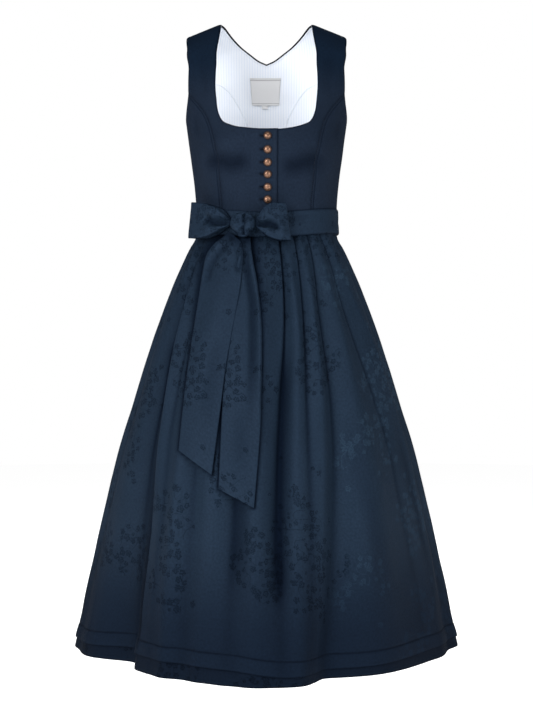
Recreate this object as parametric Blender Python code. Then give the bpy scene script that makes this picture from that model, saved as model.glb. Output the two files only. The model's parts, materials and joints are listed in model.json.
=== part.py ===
"""Dirndl, filled out as if worn: buttoned bodice, gathered skirt, wrapped apron and a tied bow.

The origin is midway between the crests of the two shoulder straps. +Z is up, the front
faces -Y, and the wearer's left is at +X, so "right" in a name means the side at -X.
Every table and constant below is in millimetres, and angles are degrees from the front
centre towards +X. The last step turns millimetres into metres.
"""
import bisect
import functools
import math
from collections import namedtuple

import bmesh
import bpy
from mathutils import Vector
from mathutils.geometry import delaunay_2d_cdt

METRE = 0.001

# Cloth walls, and the clear gaps between pieces
BODICE_WALL = 1.6
LINING_WALL = 1.0
SKIRT_WALL = 1.4
APRON_WALL = 1.4
BELT_WALL = 2.4
TIE_WALL = 1.6
LABEL_WALL = 1.0
LABEL_GAP = 0.8
SEAM_GAP = 0.3
LAYER_GAP = 0.5
LINING_GAP = 0.9
LAP_GAP = 1.0
BUTTON_SEAT = 0.5

# Angles are also held as a length: arc on a circle of this radius
ARC_RADIUS = 130.0
PANEL_STEP = 18.0
EDGE_STEP = 13.0
LATTICE_CLEAR = 0.5
BODICE_CORNER = 0.03

# Fineness of the searches and slopes worked out on the surfaces
SEARCH_STEPS = 40
SETTLE_STEPS = 12
PARALLEL_EDGES = 0.05
TURN_STEP = 0.01
SHARP_EDGE = 50.0

# Heights of the waist seam, its dip at the front, the skirt's hem and the belt
WAIST = -351.0
WAIST_DIP = 13.0
HEM = -1123.6
BELT_HALF_HEIGHT = 22.5

# Shoulder crest: height beside the neck, slope outwards, and how far down it rounds over
NECK_SIDE = 82.0
SHOULDER_TIP = 146.4
CREST_HEIGHT = 11.5
CREST_SLOPE = 0.394
SHOULDER_ROUND = 45.0

BodiceRing = namedtuple("BodiceRing", "height half_width front_depth back_depth")
BODICE_RINGS = (
    BodiceRing(-365, 127.2, 96, 88),
    BodiceRing(-313, 129, 102, 88),
    BodiceRing(-262, 134.4, 116, 92),
    BodiceRing(-221, 140, 122, 98),
    BodiceRing(-187, 144.7, 114, 101.5),
    BodiceRing(-167, 147.5, 109, 104),
    BodiceRing(-122, 155, 97, 105),
    BodiceRing(-80, 170, 82, 97),
    BodiceRing(-50, 190, 70, 88),
    BodiceRing(-10, 196, 56, 76),
    BodiceRing(40, 196, 48, 70),
)

# The cups that the front seams shape: place, size and fullness of each
CUP_X = 72.0
CUP_HEIGHT = -218.0
CUP_WIDTH = 40.0
CUP_RISE = 46.0
CUP_FULLNESS = 7.0

# Edges and seams of the wearer's left half, from the top down, as x and height
CREST = "crest"
EdgePoint = namedtuple("EdgePoint", "x height")
FRONT_NECKLINE = (
    EdgePoint(82, CREST),
    EdgePoint(84.8, -25.7),
    EdgePoint(89, -57.6),
    EdgePoint(90.4, -93.6),
    EdgePoint(90.4, -121.8),
    EdgePoint(88.2, -145.5),
    EdgePoint(83.6, -169.4),
    EdgePoint(76.7, -181.7),
    EdgePoint(64, -188.5),
    EdgePoint(43.9, -194.3),
    EdgePoint(17.1, -197.8),
    EdgePoint(0, -198.3),
)
NECK_FOOT = -198.0
FRONT_ARMHOLE = (
    EdgePoint(146.4, CREST),
    EdgePoint(144.3, -38),
    EdgePoint(142.4, -66),
    EdgePoint(141.8, -98),
    EdgePoint(142.3, -126),
)
FRONT_UNDERARM = (
    EdgePoint(142.3, -126),
    EdgePoint(144.6, -142),
    EdgePoint(146.8, -157),
    EdgePoint(147.5, -167),
)
FRONT_SEAM = (
    EdgePoint(142.3, -126),
    EdgePoint(127, -146),
    EdgePoint(114, -164.5),
    EdgePoint(105.5, -183),
    EdgePoint(97, -215.5),
    EdgePoint(91.5, -250),
    EdgePoint(87, -285),
    EdgePoint(84, -318),
    EdgePoint(82.5, None),
)
BACK_NECKLINE = (
    EdgePoint(82, CREST),
    EdgePoint(66, 3.6),
    EdgePoint(47.3, -12.7),
    EdgePoint(28.1, -26.9),
    EdgePoint(13.6, -36.8),
    EdgePoint(0, -42.5),
)
BACK_ARMHOLE = (
    EdgePoint(146.4, CREST),
    EdgePoint(144.3, -38),
    EdgePoint(142, -79),
)
BACK_UNDERARM = (
    EdgePoint(142, -79),
    EdgePoint(141.8, -110),
    EdgePoint(143.4, -136),
    EdgePoint(146.3, -157),
    EdgePoint(147.5, -167),
)
BACK_SEAM = (
    EdgePoint(142, -79),
    EdgePoint(118, -78),
    EdgePoint(93.5, -82),
    EdgePoint(77.5, -89),
    EdgePoint(62, -107),
    EdgePoint(48.5, -130.5),
    EdgePoint(39, -152),
    EdgePoint(33, -200),
    EdgePoint(30.5, -270),
    EdgePoint(31, None),
)

# Front closure: the right front laps over the left one
LAP_EDGE = 20.5
UNDERLAP_EDGE = -15.0
LAP_RAMP_START = -53.0
LAP_RAMP_END = -35.0
NECK_EDGE_TURN = 2.3

BUTTON_X = 2.0
BUTTON_HEIGHTS = (-212, -235, -256.6, -276.5, -298, -319.6)
ButtonRing = namedtuple("ButtonRing", "radius rise")
BUTTON_PROFILE = (
    ButtonRing(6.4, 0.0),
    ButtonRing(7.25, 1.1),
    ButtonRing(6.3, 3.2),
    ButtonRing(3.6, 4.7),
)
BUTTON_TOP = 5.1
BUTTON_SIDES = 14

LABEL_CENTRE = EdgePoint(-1.9, -92.5)
LABEL_SIZE = (55.0, 51.0)
LABEL_PARTS = 5
TAB_CENTRE = EdgePoint(-2.9, -121.6)
TAB_SIZE = (11.5, 6.6)
TAB_PARTS = 2

SkirtRing = namedtuple("SkirtRing", "height half_width front_depth back_depth")
SKIRT_RINGS = (
    SkirtRing(-1123.6, 347, 288.5, 301),
    SkirtRing(-1094, 341.7, 286.5, 298),
    SkirtRing(-1023, 328.9, 278.5, 287),
    SkirtRing(-961, 314.7, 268.5, 275),
    SkirtRing(-895, 299.9, 256.5, 261),
    SkirtRing(-838, 286.3, 245.5, 247),
    SkirtRing(-763, 267.8, 230.5, 228),
    SkirtRing(-682.6, 242.3, 210.5, 206),
    SkirtRing(-602, 218, 188.5, 181),
    SkirtRing(-512, 186.8, 158.5, 149),
    SkirtRing(-448.5, 161.3, 133.5, 124),
    SkirtRing(-397, 137.3, 107.5, 99),
    SkirtRing(-382.5, 128.6, 98.5, 90.5),
    SkirtRing(-351, 125.5, 94.5, 87),
)
SKIRT_CORNER = 0.03
CORNER_FADE = 150.0

# Fold lines of the skirt's front, from the right side seam round to the left one. The
# angles and the lifts off the plain ring are read at these five heights.
FOLD_HEIGHTS = (-1123.6, -895, -690, -512, -382.5)
Fold = namedtuple("Fold", "form hem knee thigh hip belt")
At = namedtuple("At", "angle lift")
FRONT_FOLDS = (
    Fold("seam", At(-90, 0), At(-90, 0), At(-90, 0), At(-90, 0), At(-90, 0)),
    Fold("trough", At(-82, -11), At(-81, -10), At(-80, -8), At(-80, -5), At(-79, -2)),
    Fold("crest", At(-76, -12), At(-73, -9), At(-70, -4), At(-69, -1), At(-69, 1)),
    Fold("trough", At(-58, -62), At(-57, -34), At(-58, -17), At(-60.5, -8), At(-61.5, -2.5)),
    Fold("crest", At(-46.4, -21), At(-45.5, -6), At(-50, 2), At(-54.5, 4), At(-57, 0.8)),
    Fold("trough", At(-41, -12), At(-40.5, -4), At(-44, -5), At(-45.5, -6), At(-44, -2.5)),
    Fold("crest", At(-34, 2), At(-34.5, 10), At(-37, 5), At(-39, 3), At(-40, 0.8)),
    Fold("trough", At(-28, -1), At(-28.5, -1), At(-30, -4), At(-30.5, -6), At(-30.5, -2.5)),
    Fold("crest", At(-20.5, 12), At(-21.5, 8), At(-23, 5), At(-24, 3), At(-26, 0.8)),
    Fold("trough", At(-11.5, 23), At(-12.3, 0), At(-13.5, -4), At(-14.5, -6), At(-15.5, -2.5)),
    Fold("crest", At(-3.4, 34), At(-4, 16), At(-4.5, 9), At(-4, 5), At(-4, 1.5)),
    Fold("trough", At(4.4, 31), At(4.4, -3), At(6.8, -9), At(12, -8), At(13, -2.5)),
    Fold("crest", At(9.6, 28), At(11.3, 14), At(13.8, 5), At(17.6, 4), At(17, 1)),
    Fold("trough", At(12.4, 20), At(16, 6), At(18.6, 0), At(23.5, -5), At(27.5, -2.5)),
    Fold("crest", At(15, 3), At(20.5, 0), At(24.4, 4), At(28.4, 4), At(31, 1)),
    Fold("trough", At(19.5, -21), At(27, -21), At(32, -13), At(34.5, -7), At(41, -2.5)),
    Fold("crest", At(37.5, -14), At(41, 3), At(42.6, 4), At(43.6, 3), At(45.5, 1)),
    Fold("trough", At(64, -26), At(61, -15), At(58, -7), At(53, -7), At(54.5, -2.5)),
    Fold("crest", At(73.5, -20), At(72, -8), At(69, -2), At(64, 1), At(60, 1)),
    Fold("trough", At(81.5, -21), At(81, -13), At(80, -8), At(77, -5), At(75, -2)),
    Fold("seam", At(90, 0), At(90, 0), At(90, 0), At(90, 0), At(90, 0)),
)

# The back's folds repeat between the side seams, uneven in place and depth
BACK_PLEATS = 7
BACK_TROUGH = (-20.0, -15.0, -10.0, -7.0, -2.5)
BACK_CREST = (9.0, 7.0, 5.0, 3.0, 1.0)
BACK_SWAY = (2.6, 2.2, 1.6, 1.0, 0.3)
BACK_UNEVEN = 0.35

# Rows of the skirt and apron between waist and hem, as fractions of the skirt's length
ROW_FRACTIONS = (0.0, 0.035, 0.075, 0.125, 0.195, 0.285, 0.39, 0.505, 0.63, 0.76, 0.88)
WIDE_FOLD = 10.5

# Height of the apron's hem above the skirt's
RiseAt = namedtuple("RiseAt", "angle rise")
APRON_RISES = (
    RiseAt(-120, 18),
    RiseAt(-90, 18),
    RiseAt(-46, 27),
    RiseAt(-20, 25),
    RiseAt(-7, 23),
    RiseAt(6, 15),
    RiseAt(28, 15),
    RiseAt(65, 19),
    RiseAt(90, 18),
    RiseAt(120, 18),
)

BELT_SPLIT = 104.0
BELT_COLUMNS_FRONT = 36
BELT_COLUMNS_BACK = 24
BELT_CLEARANCE = 0.5
BELT_FLARE = 1.5
LAP_WINDOW = (-36.0, -27.0, 13.0, 21.0)

KNOT_ANGLE = -20.6
KNOT_HEIGHT = -366.0
KNOT_HALF = (22.0, 21.5, 12.5)
KNOT_FULLNESS = 0.72
KNOT_SEGMENTS = 16
KNOT_RINGS = 10

# Path of each bow loop from the back of the knot out and round to its front
LoopRow = namedtuple("LoopRow", "angle stand_off middle half_height pinch")
RIGHT_LOOP = (
    LoopRow(-30.9, 5, -361, 7, 0),
    LoopRow(-40, 1.5, -357, 20, 0),
    LoopRow(-51, 2, -357, 29, 0),
    LoopRow(-60.5, 6.5, -355, 32, 0),
    LoopRow(-66, 14.5, -353, 32, 0),
    LoopRow(-66, 22.5, -353, 32, 0),
    LoopRow(-58.5, 24, -355, 31.5, 1),
    LoopRow(-49, 24.5, -357, 28, 4),
    LoopRow(-40.5, 21, -357.5, 19, 6),
    LoopRow(-30.9, 14, -361, 7, 1),
)
LEFT_LOOP = (
    LoopRow(-9.6, 4, -362, 10, 0),
    LoopRow(-3, 1.7, -361, 23, 0),
    LoopRow(4, 1.7, -361, 30, 0),
    LoopRow(11.5, 4.5, -361, 33, 0),
    LoopRow(17, 11.5, -361, 33, 0),
    LoopRow(17.6, 19, -361, 33, 0),
    LoopRow(12, 24, -361, 33, 2),
    LoopRow(4.5, 24.5, -361, 31, 5),
    LoopRow(-3, 21, -361.5, 22, 7),
    LoopRow(-9.6, 13.5, -362, 10, 1),
)
RIGHT_LOOP_LEAN = 1.2
LEFT_LOOP_LEAN = -2.8
LOOP_STEPS = 18
LOOP_HALF_MAX = 33.0

# Edges of each hanging end of the tie, from the knot down, and its height off the skirt
TailRow = namedtuple("TailRow", "outer_x outer_height inner_x inner_height lift")
RIGHT_TAIL = (
    TailRow(-67.2, -375, -47.2, -392.5, 17),
    TailRow(-76.5, -385, -42.5, -402, 15),
    TailRow(-89.8, -394.5, -40.8, -419.5, 12.5),
    TailRow(-106, -416, -42.4, -442.7, 10.5),
    TailRow(-112.8, -451.5, -44.7, -472.7, 9.5),
    TailRow(-119.7, -499.4, -51.3, -512.8, 9),
    TailRow(-127.3, -555.3, -60.3, -562.6, 8.8),
    TailRow(-135.5, -618.7, -69.9, -621.8, 8.8),
    TailRow(-142.8, -686.1, -78.4, -693.3, 9),
    TailRow(-148.3, -752.4, -90.7, -791.4, 9),
)
LEFT_TAIL = (
    TailRow(-45, -388.8, -28.5, -386.8, 11),
    TailRow(-52, -404.6, -27, -404.5, 10),
    TailRow(-62, -431.3, -22.5, -432, 7.5),
    TailRow(-67.5, -468.7, -15.5, -469.3, 6),
    TailRow(-70.5, -519.4, -9.4, -519.8, 5.5),
    TailRow(-72.2, -576.2, -7.1, -576.2, 5.2),
    TailRow(-73.2, -643.6, -8, -648.4, 5.2),
    TailRow(-75.9, -708.2, -10.8, -727.4, 5.2),
    TailRow(-79.9, -813.9, -20.1, -843.5, 5.2),
)
TAIL_COLUMNS = 6
TAIL_STEPS = 16
RIGHT_TAIL_SWELL = 2.0
LEFT_TAIL_SWELL = 0.5

# Colour, roughness and metallic value of each material
Finish = namedtuple("Finish", "red green blue roughness metallic")
BODICE_CLOTH = Finish(0.017, 0.026, 0.045, 0.72, 0.0)
LINING_CLOTH = Finish(0.72, 0.77, 0.86, 0.8, 0.0)
LABEL_CLOTH = Finish(0.61, 0.61, 0.63, 0.75, 0.0)
SKIRT_CLOTH = Finish(0.015, 0.025, 0.044, 0.6, 0.0)
APRON_CLOTH = Finish(0.018, 0.029, 0.05, 0.55, 0.0)
TIE_CLOTH = Finish(0.02, 0.032, 0.055, 0.6, 0.0)
BUTTON_METAL = Finish(0.3, 0.16, 0.09, 0.35, 0.9)


class Profile:
    """Smooth curve through values at rising places, straight past both ends."""

    def __init__(self, places, values):
        self.places = list(places)
        self.values = list(values)
        steps = [
            (self.values[i + 1] - self.values[i]) / (self.places[i + 1] - self.places[i])
            for i in range(len(self.places) - 1)
        ]
        inner = [(a + b) / 2 if a * b > 0 else 0.0 for a, b in zip(steps, steps[1:])]
        self.slopes = [steps[0]] + inner + [steps[-1]]

    def __call__(self, place):
        last = len(self.places) - 1
        if place <= self.places[0]:
            return self.values[0] + (place - self.places[0]) * self.slopes[0]
        if place >= self.places[last]:
            return self.values[last] + (place - self.places[last]) * self.slopes[last]
        i = bisect.bisect_right(self.places, place) - 1
        width = self.places[i + 1] - self.places[i]
        t = (place - self.places[i]) / width
        start = self.values[i] * (1 + 2 * t) * (1 - t) ** 2 + self.slopes[i] * width * t * (1 - t) ** 2
        end = self.values[i + 1] * t * t * (3 - 2 * t) - self.slopes[i + 1] * width * t * t * (1 - t)
        return start + end


def columns(rows, place_field, *fields):
    """One profile for each named column of a table."""
    places = [getattr(row, place_field) for row in rows]
    return [Profile(places, [getattr(row, field) for row in rows]) for field in fields]


def ease(value, start, end):
    """Smooth step from 0 at start to 1 at end."""
    t = min(1.0, max(0.0, (value - start) / (end - start)))
    return t * t * (3 - 2 * t)


BODICE_WIDTH, BODICE_FRONT, BODICE_BACK = columns(
    BODICE_RINGS, "height", "half_width", "front_depth", "back_depth"
)
SKIRT_WIDTH, SKIRT_FRONT, SKIRT_BACK = columns(
    SKIRT_RINGS, "height", "half_width", "front_depth", "back_depth"
)
(APRON_RISE,) = columns(APRON_RISES, "angle", "rise")


def waist_height(turn):
    """Height of the waist seam, which dips at the front centre."""
    return WAIST - WAIST_DIP * max(0.0, math.cos(turn)) ** 2


def crest_start(x):
    """Height at which a shoulder begins to round over."""
    return CREST_HEIGHT - (abs(x) - NECK_SIDE) * CREST_SLOPE - SHOULDER_ROUND


def bodice(arc, rise):
    """Point on the bodice at an arc round from the front centre and an unrolled height."""
    turn = arc / ARC_RADIUS
    sine, cosine = math.sin(turn), math.cos(turn)
    corner = 1 + BODICE_CORNER * math.sin(2 * turn) ** 2
    x = BODICE_WIDTH(rise) * sine * corner
    if cosine > 0:
        cup_x = (abs(x) - CUP_X) / CUP_WIDTH
        cup_z = (rise - CUP_HEIGHT) / CUP_RISE
        y = -BODICE_FRONT(rise) * cosine * corner
        y -= CUP_FULLNESS * math.exp(-cup_x * cup_x - cup_z * cup_z)
    else:
        y = -BODICE_BACK(rise) * cosine * corner
    start = crest_start(x)
    if rise > start:
        roll = (rise - start) / SHOULDER_ROUND
        rise = start + SHOULDER_ROUND * math.sin(roll)
        y *= math.cos(roll)
    return Vector((x, y, rise))


def bodice_waist(arc):
    """Unrolled height of the waist seam at an arc of the bodice."""
    place = bodice(arc, WAIST)
    return waist_height(math.atan2(place.x, -place.y))


def on_bodice(point, back=False, left=True):
    """Arc and unrolled height of an edge point of the bodice."""
    x = abs(point.x)
    if point.height == CREST:
        rise = crest_start(x) + SHOULDER_ROUND * math.pi / 2
    else:
        height = point.height
        if height is None:
            height = WAIST
        lift = (height - crest_start(x)) / SHOULDER_ROUND
        rise = height if lift <= 0 else crest_start(x) + SHOULDER_ROUND * math.asin(lift)
    low, high = 0.0, math.pi / 2
    for _ in range(SEARCH_STEPS):
        turn = (low + high) / 2
        reach = BODICE_WIDTH(rise) * math.sin(turn) * (1 + BODICE_CORNER * math.sin(2 * turn) ** 2)
        if reach < x:
            low = turn
        else:
            high = turn
    if point.height is None:
        rise = WAIST if back else bodice_waist(turn * ARC_RADIUS)
    if back:
        turn = math.pi - turn
        arc = turn if left == (point.x >= 0) else 2 * math.pi - turn
    else:
        arc = turn if left == (point.x >= 0) else -turn
    return (arc * ARC_RADIUS, rise)


def edge_line(points, back=False, left=True):
    """Smooth line on the bodice through a table of edge points, in even steps."""
    places = [on_bodice(point, back, left) for point in points]
    lengths = [0.0]
    for a, b in zip(places, places[1:]):
        lengths.append(lengths[-1] + math.dist(a, b))
    arcs = Profile(lengths, [place[0] for place in places])
    rises = Profile(lengths, [place[1] for place in places])
    count = max(1, round(lengths[-1] / EDGE_STEP))
    return [(arcs(lengths[-1] * i / count), rises(lengths[-1] * i / count)) for i in range(count + 1)]


def shoulder_line(back=False, left=True):
    """Shoulder seam along the crest, from the neck out."""
    count = round((SHOULDER_TIP - NECK_SIDE) / EDGE_STEP)
    spread = (SHOULDER_TIP - NECK_SIDE) / count
    return [on_bodice(EdgePoint(NECK_SIDE + spread * i, CREST), back, left) for i in range(count + 1)]


def straight_line(start, end):
    """Straight line on the flat bodice in even steps."""
    count = max(1, round(math.dist(start, end) / EDGE_STEP))
    return [
        (start[0] + (end[0] - start[0]) * i / count, start[1] + (end[1] - start[1]) * i / count)
        for i in range(count + 1)
    ]


def waist_line(start_arc, end_arc):
    """Bottom edge of the bodice between two arcs."""
    count = max(1, round(abs(end_arc - start_arc) / EDGE_STEP))
    arcs = [start_arc + (end_arc - start_arc) * i / count for i in range(count + 1)]
    return [(arc, bodice_waist(arc)) for arc in arcs]


def inset_loop(edges):
    """Close a chain of edges into one loop, each edge moved in by its own amount."""
    points = []
    insets = []
    for line, inset in edges:
        for a in line[:-1]:
            points.append(a)
            insets.append(inset)
    count = len(points)
    turns = sum(
        points[i][0] * points[(i + 1) % count][1] - points[(i + 1) % count][0] * points[i][1]
        for i in range(count)
    )
    hand = 1 if turns > 0 else -1
    moved = []
    for i in range(count):
        before, here, after = points[i - 1], points[i], points[(i + 1) % count]
        first = (Vector(here) - Vector(before)).normalized()
        second = (Vector(after) - Vector(here)).normalized()
        normal_1 = Vector((-first.y, first.x)) * hand
        normal_2 = Vector((-second.y, second.x)) * hand
        cross = first.x * second.y - first.y * second.x
        inset_1, inset_2 = insets[i - 1], insets[i]
        if abs(cross) < PARALLEL_EDGES:
            shift = (normal_1 * inset_1 + normal_2 * inset_2) / 2
        else:
            gap = normal_2 * inset_2 - normal_1 * inset_1
            along = (gap.x * second.y - gap.y * second.x) / cross
            shift = normal_1 * inset_1 + first * along
        moved.append((here[0] + shift.x, here[1] + shift.y))
    return moved


def is_inside(point, loop):
    """Whether a flat point lies in a loop."""
    inside = False
    for a, b in zip(loop, loop[1:] + loop[:1]):
        if (a[1] > point[1]) != (b[1] > point[1]):
            if point[0] < a[0] + (b[0] - a[0]) * (point[1] - a[1]) / (b[1] - a[1]):
                inside = not inside
    return inside


def edge_distance(point, loop):
    """Distance of a flat point from a loop."""
    nearest = math.inf
    for a, b in zip(loop, loop[1:] + loop[:1]):
        run = (b[0] - a[0], b[1] - a[1])
        t = ((point[0] - a[0]) * run[0] + (point[1] - a[1]) * run[1]) / (run[0] ** 2 + run[1] ** 2)
        t = min(1.0, max(0.0, t))
        nearest = min(nearest, math.dist(point, (a[0] + run[0] * t, a[1] + run[1] * t)))
    return nearest


def moved_out(surface, u, v, offset, step=0.2, level=False):
    """Point of a surface moved along its outward normal, or along the level part of it."""
    across = surface(u + step, v) - surface(u - step, v)
    up = surface(u, v + step) - surface(u, v - step)
    out = across.cross(up)
    if level:
        out.z = 0.0
    return surface(u, v) + out.normalized() * offset


def finish_material(name, finish):
    """Principled material, made once and then shared."""
    material = bpy.data.materials.get(name)
    if material is None:
        material = bpy.data.materials.new(name)
        material.use_nodes = True
        shader = material.node_tree.nodes["Principled BSDF"]
        shader.inputs["Base Color"].default_value = (finish.red, finish.green, finish.blue, 1.0)
        shader.inputs["Roughness"].default_value = finish.roughness
        shader.inputs["Metallic"].default_value = finish.metallic
        material.diffuse_color = (finish.red, finish.green, finish.blue, 1.0)
    return material


def add_object(name, points, faces, finish):
    """Closed solid from points in millimetres and its faces."""
    shape = bmesh.new()
    corners = [shape.verts.new(Vector(point) * METRE) for point in points]
    for face in faces:
        shape.faces.new([corners[i] for i in face])
    bmesh.ops.recalc_face_normals(shape, faces=shape.faces)
    mesh = bpy.data.meshes.new(name)
    shape.to_mesh(mesh)
    shape.free()
    mesh.shade_smooth()
    mesh.set_sharp_from_angle(angle=math.radians(SHARP_EDGE))
    mesh.materials.append(finish_material(name + "_finish", finish))
    built = bpy.data.objects.new(name, mesh)
    bpy.context.scene.collection.objects.link(built)
    return built


def cloth(name, surface, places, triangles, outer, inner, finish, step=0.2, level=False):
    """Cloth wall over the triangles of a surface, between an outer and an inner offset."""
    count = len(places)
    points = [moved_out(surface, u, v, outer(u, v), step, level) for u, v in places]
    points += [moved_out(surface, u, v, inner(u, v), step, level) for u, v in places]
    faces = [tuple(face) for face in triangles]
    faces += [(c + count, b + count, a + count) for a, b, c in triangles]
    uses = {}
    for a, b, c in triangles:
        for edge in ((a, b), (b, c), (c, a)):
            uses[edge] = True
    for a, b in uses:
        if (b, a) not in uses:
            faces.append((b, a, a + count))
            faces.append((b, a + count, b + count))
    return add_object(name, points, faces, finish)


def panel(name, surface, edges, outer, inner, finish):
    """Cloth wall inside a chain of edges, on an even lattice of points."""
    loop = inset_loop(edges)
    step = PANEL_STEP
    lows = [min(point[k] for point in loop) for k in (0, 1)]
    highs = [max(point[k] for point in loop) for k in (0, 1)]
    lattice = list(loop)
    row_step = step * math.sqrt(3) / 2
    for j in range(math.floor(lows[1] / row_step), math.ceil(highs[1] / row_step) + 1):
        shift = step / 2 if j % 2 else 0.0
        for i in range(math.floor(lows[0] / step) - 1, math.ceil(highs[0] / step) + 1):
            point = (i * step + shift, j * row_step)
            if is_inside(point, loop) and edge_distance(point, loop) > LATTICE_CLEAR * step:
                lattice.append(point)
    flat = [Vector(point) for point in lattice]
    result = delaunay_2d_cdt(flat, [], [list(range(len(loop)))], 1, 1e-6)
    places = [(point.x, point.y) for point in result[0]]
    triangles = []
    for a, b, c in result[2]:
        area = (places[b][0] - places[a][0]) * (places[c][1] - places[a][1])
        area -= (places[c][0] - places[a][0]) * (places[b][1] - places[a][1])
        triangles.append((a, b, c) if area > 0 else (a, c, b))
    return cloth(name, surface, places, triangles, outer, inner, finish)


def grid_cloth(name, surface, grid, outer, inner, finish, step=0.2, level=False):
    """Cloth wall over rows of places, top row first and each row in rising arc."""
    width = len(grid[0])
    places = [place for row in grid for place in row]
    triangles = []
    for j in range(len(grid) - 1):
        for i in range(width - 1):
            a = (j + 1) * width + i
            b = a + 1
            c = j * width + i + 1
            d = j * width + i
            triangles.append((a, b, c))
            triangles.append((a, c, d))
    return cloth(name, surface, places, triangles, outer, inner, finish, step, level)


def even(value):
    """Offset that is the same all over."""
    return lambda u, v: value


def lap(arc, rise):
    """How far the right front stands out where it laps over the left one."""
    return (BODICE_WALL + LAP_GAP) * ease(bodice(arc, rise).x, LAP_RAMP_START, LAP_RAMP_END)


def make_bodice():
    """Seven bodice panels, joined at the shoulders, sides and shaping seams."""
    seam = SEAM_GAP / 2
    for side, left in (("right", False), ("left", True)):
        sign = 1 if left else -1
        # Each front's own centre edge lies past the middle, on the other half
        centre = -UNDERLAP_EDGE if left else LAP_EDGE
        neck = edge_line(FRONT_NECKLINE, left=left)
        top = on_bodice(EdgePoint(-centre, NECK_FOOT), left=left)
        bottom_arc = -sign * centre / BODICE_WIDTH(WAIST) * ARC_RADIUS
        bottom = (bottom_arc, bodice_waist(bottom_arc))
        neck_end = straight_line(neck[-1], top)
        armhole = edge_line(FRONT_ARMHOLE, left=left)
        princess = edge_line(FRONT_SEAM, left=left)
        underarm = edge_line(FRONT_UNDERARM, left=left)
        side_top = underarm[-1]
        side_bottom = (side_top[0], WAIST)
        shoulder = shoulder_line(left=left)
        raised = even(0.0) if left else lap
        panel(
            "bodice_front_" + side,
            bodice,
            [
                (neck, seam),
                (neck_end, seam),
                (straight_line(top, bottom), seam),
                (waist_line(bottom[0], princess[-1][0]), seam),
                (princess[::-1], seam),
                (armhole[::-1], seam),
                (shoulder[::-1], seam),
            ],
            raised,
            lambda u, v, raised=raised: raised(u, v) - BODICE_WALL,
            BODICE_CLOTH,
        )
        panel(
            "bodice_side_front_" + side,
            bodice,
            [
                (princess, seam),
                (waist_line(princess[-1][0], side_bottom[0]), seam),
                (straight_line(side_bottom, side_top), seam),
                (underarm[::-1], seam),
            ],
            even(0.0),
            even(-BODICE_WALL),
            BODICE_CLOTH,
        )
    make_back("bodice", 0.0, BODICE_WALL, SEAM_GAP / 2, BODICE_CLOTH)
    outer = -BODICE_WALL - LINING_GAP
    make_back("lining", outer, LINING_WALL, NECK_EDGE_TURN, LINING_CLOTH)


def make_back(layer, outer, wall, free_inset, finish):
    """The back's centre and side panels, for the bodice or for its lining."""
    seam = SEAM_GAP / 2
    for side, left in (("right", False), ("left", True)):
        princess = edge_line(BACK_SEAM, back=True, left=left)
        underarm = edge_line(BACK_UNDERARM, back=True, left=left)
        side_top = underarm[-1]
        side_bottom = (side_top[0], WAIST)
        panel(
            layer + "_side_back_" + side,
            bodice,
            [
                (princess, seam),
                (waist_line(princess[-1][0], side_bottom[0]), seam),
                (straight_line(side_bottom, side_top), seam),
                (underarm[::-1], free_inset),
            ],
            even(outer),
            even(outer - wall),
            finish,
        )
    halves = {}
    for left in (False, True):
        neck = edge_line(BACK_NECKLINE, back=True, left=left)
        armhole = edge_line(BACK_ARMHOLE, back=True, left=left)
        princess = edge_line(BACK_SEAM, back=True, left=left)
        halves[left] = (neck, shoulder_line(back=True, left=left), armhole, princess)
    neck, shoulder, armhole, princess = halves[False]
    neck_2, shoulder_2, armhole_2, princess_2 = halves[True]
    panel(
        layer + "_back",
        bodice,
        [
            (neck[::-1], free_inset),
            (shoulder, seam),
            (armhole, free_inset),
            (princess, seam),
            (waist_line(princess[-1][0], princess_2[-1][0]), seam),
            (princess_2[::-1], seam),
            (armhole_2[::-1], free_inset),
            (shoulder_2[::-1], seam),
            (neck_2, free_inset),
        ],
        even(outer),
        even(outer - wall),
        finish,
    )


def make_label(name, centre, size, parts):
    """Small flat piece sewn on the lining at the back of the neck."""
    arc, rise = on_bodice(centre, back=True)
    width, height = size
    outer = -BODICE_WALL - LINING_GAP - LINING_WALL - LABEL_GAP
    half_arc = width / 2 / BODICE_WIDTH(rise) * ARC_RADIUS
    grid = []
    for j in range(parts + 1):
        row_rise = rise + height * (0.5 - j / parts)
        grid.append([(arc + half_arc * (2 * i / parts - 1), row_rise) for i in range(parts + 1)])
    return grid_cloth(name, bodice, grid, even(outer), even(outer - LABEL_WALL), LABEL_CLOTH)


def make_buttons():
    """Domed buttons on the right front, down the closure."""
    for number, height in enumerate(BUTTON_HEIGHTS, 1):
        arc, rise = on_bodice(EdgePoint(BUTTON_X, height))
        seat = moved_out(bodice, arc, rise, lap(arc, rise) + BUTTON_SEAT)
        out = (moved_out(bodice, arc, rise, 10.0) - bodice(arc, rise)).normalized()
        across = Vector((0, 0, 1)).cross(out).normalized()
        up = out.cross(across)
        points = []
        for ring in BUTTON_PROFILE:
            for i in range(BUTTON_SIDES):
                turn = 2 * math.pi * i / BUTTON_SIDES
                spoke = across * math.cos(turn) + up * math.sin(turn)
                points.append(seat + spoke * ring.radius + out * ring.rise)
        points.append(seat + out * BUTTON_TOP)
        faces = [tuple(range(BUTTON_SIDES))[::-1]]
        for j in range(len(BUTTON_PROFILE) - 1):
            for i in range(BUTTON_SIDES):
                k = (i + 1) % BUTTON_SIDES
                low, high = j * BUTTON_SIDES, (j + 1) * BUTTON_SIDES
                faces.append((low + i, low + k, high + k, high + i))
        last = (len(BUTTON_PROFILE) - 1) * BUTTON_SIDES
        for i in range(BUTTON_SIDES):
            faces.append((last + i, last + (i + 1) % BUTTON_SIDES, len(points) - 1))
        add_object("button_%d" % number, points, faces, BUTTON_METAL)


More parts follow.
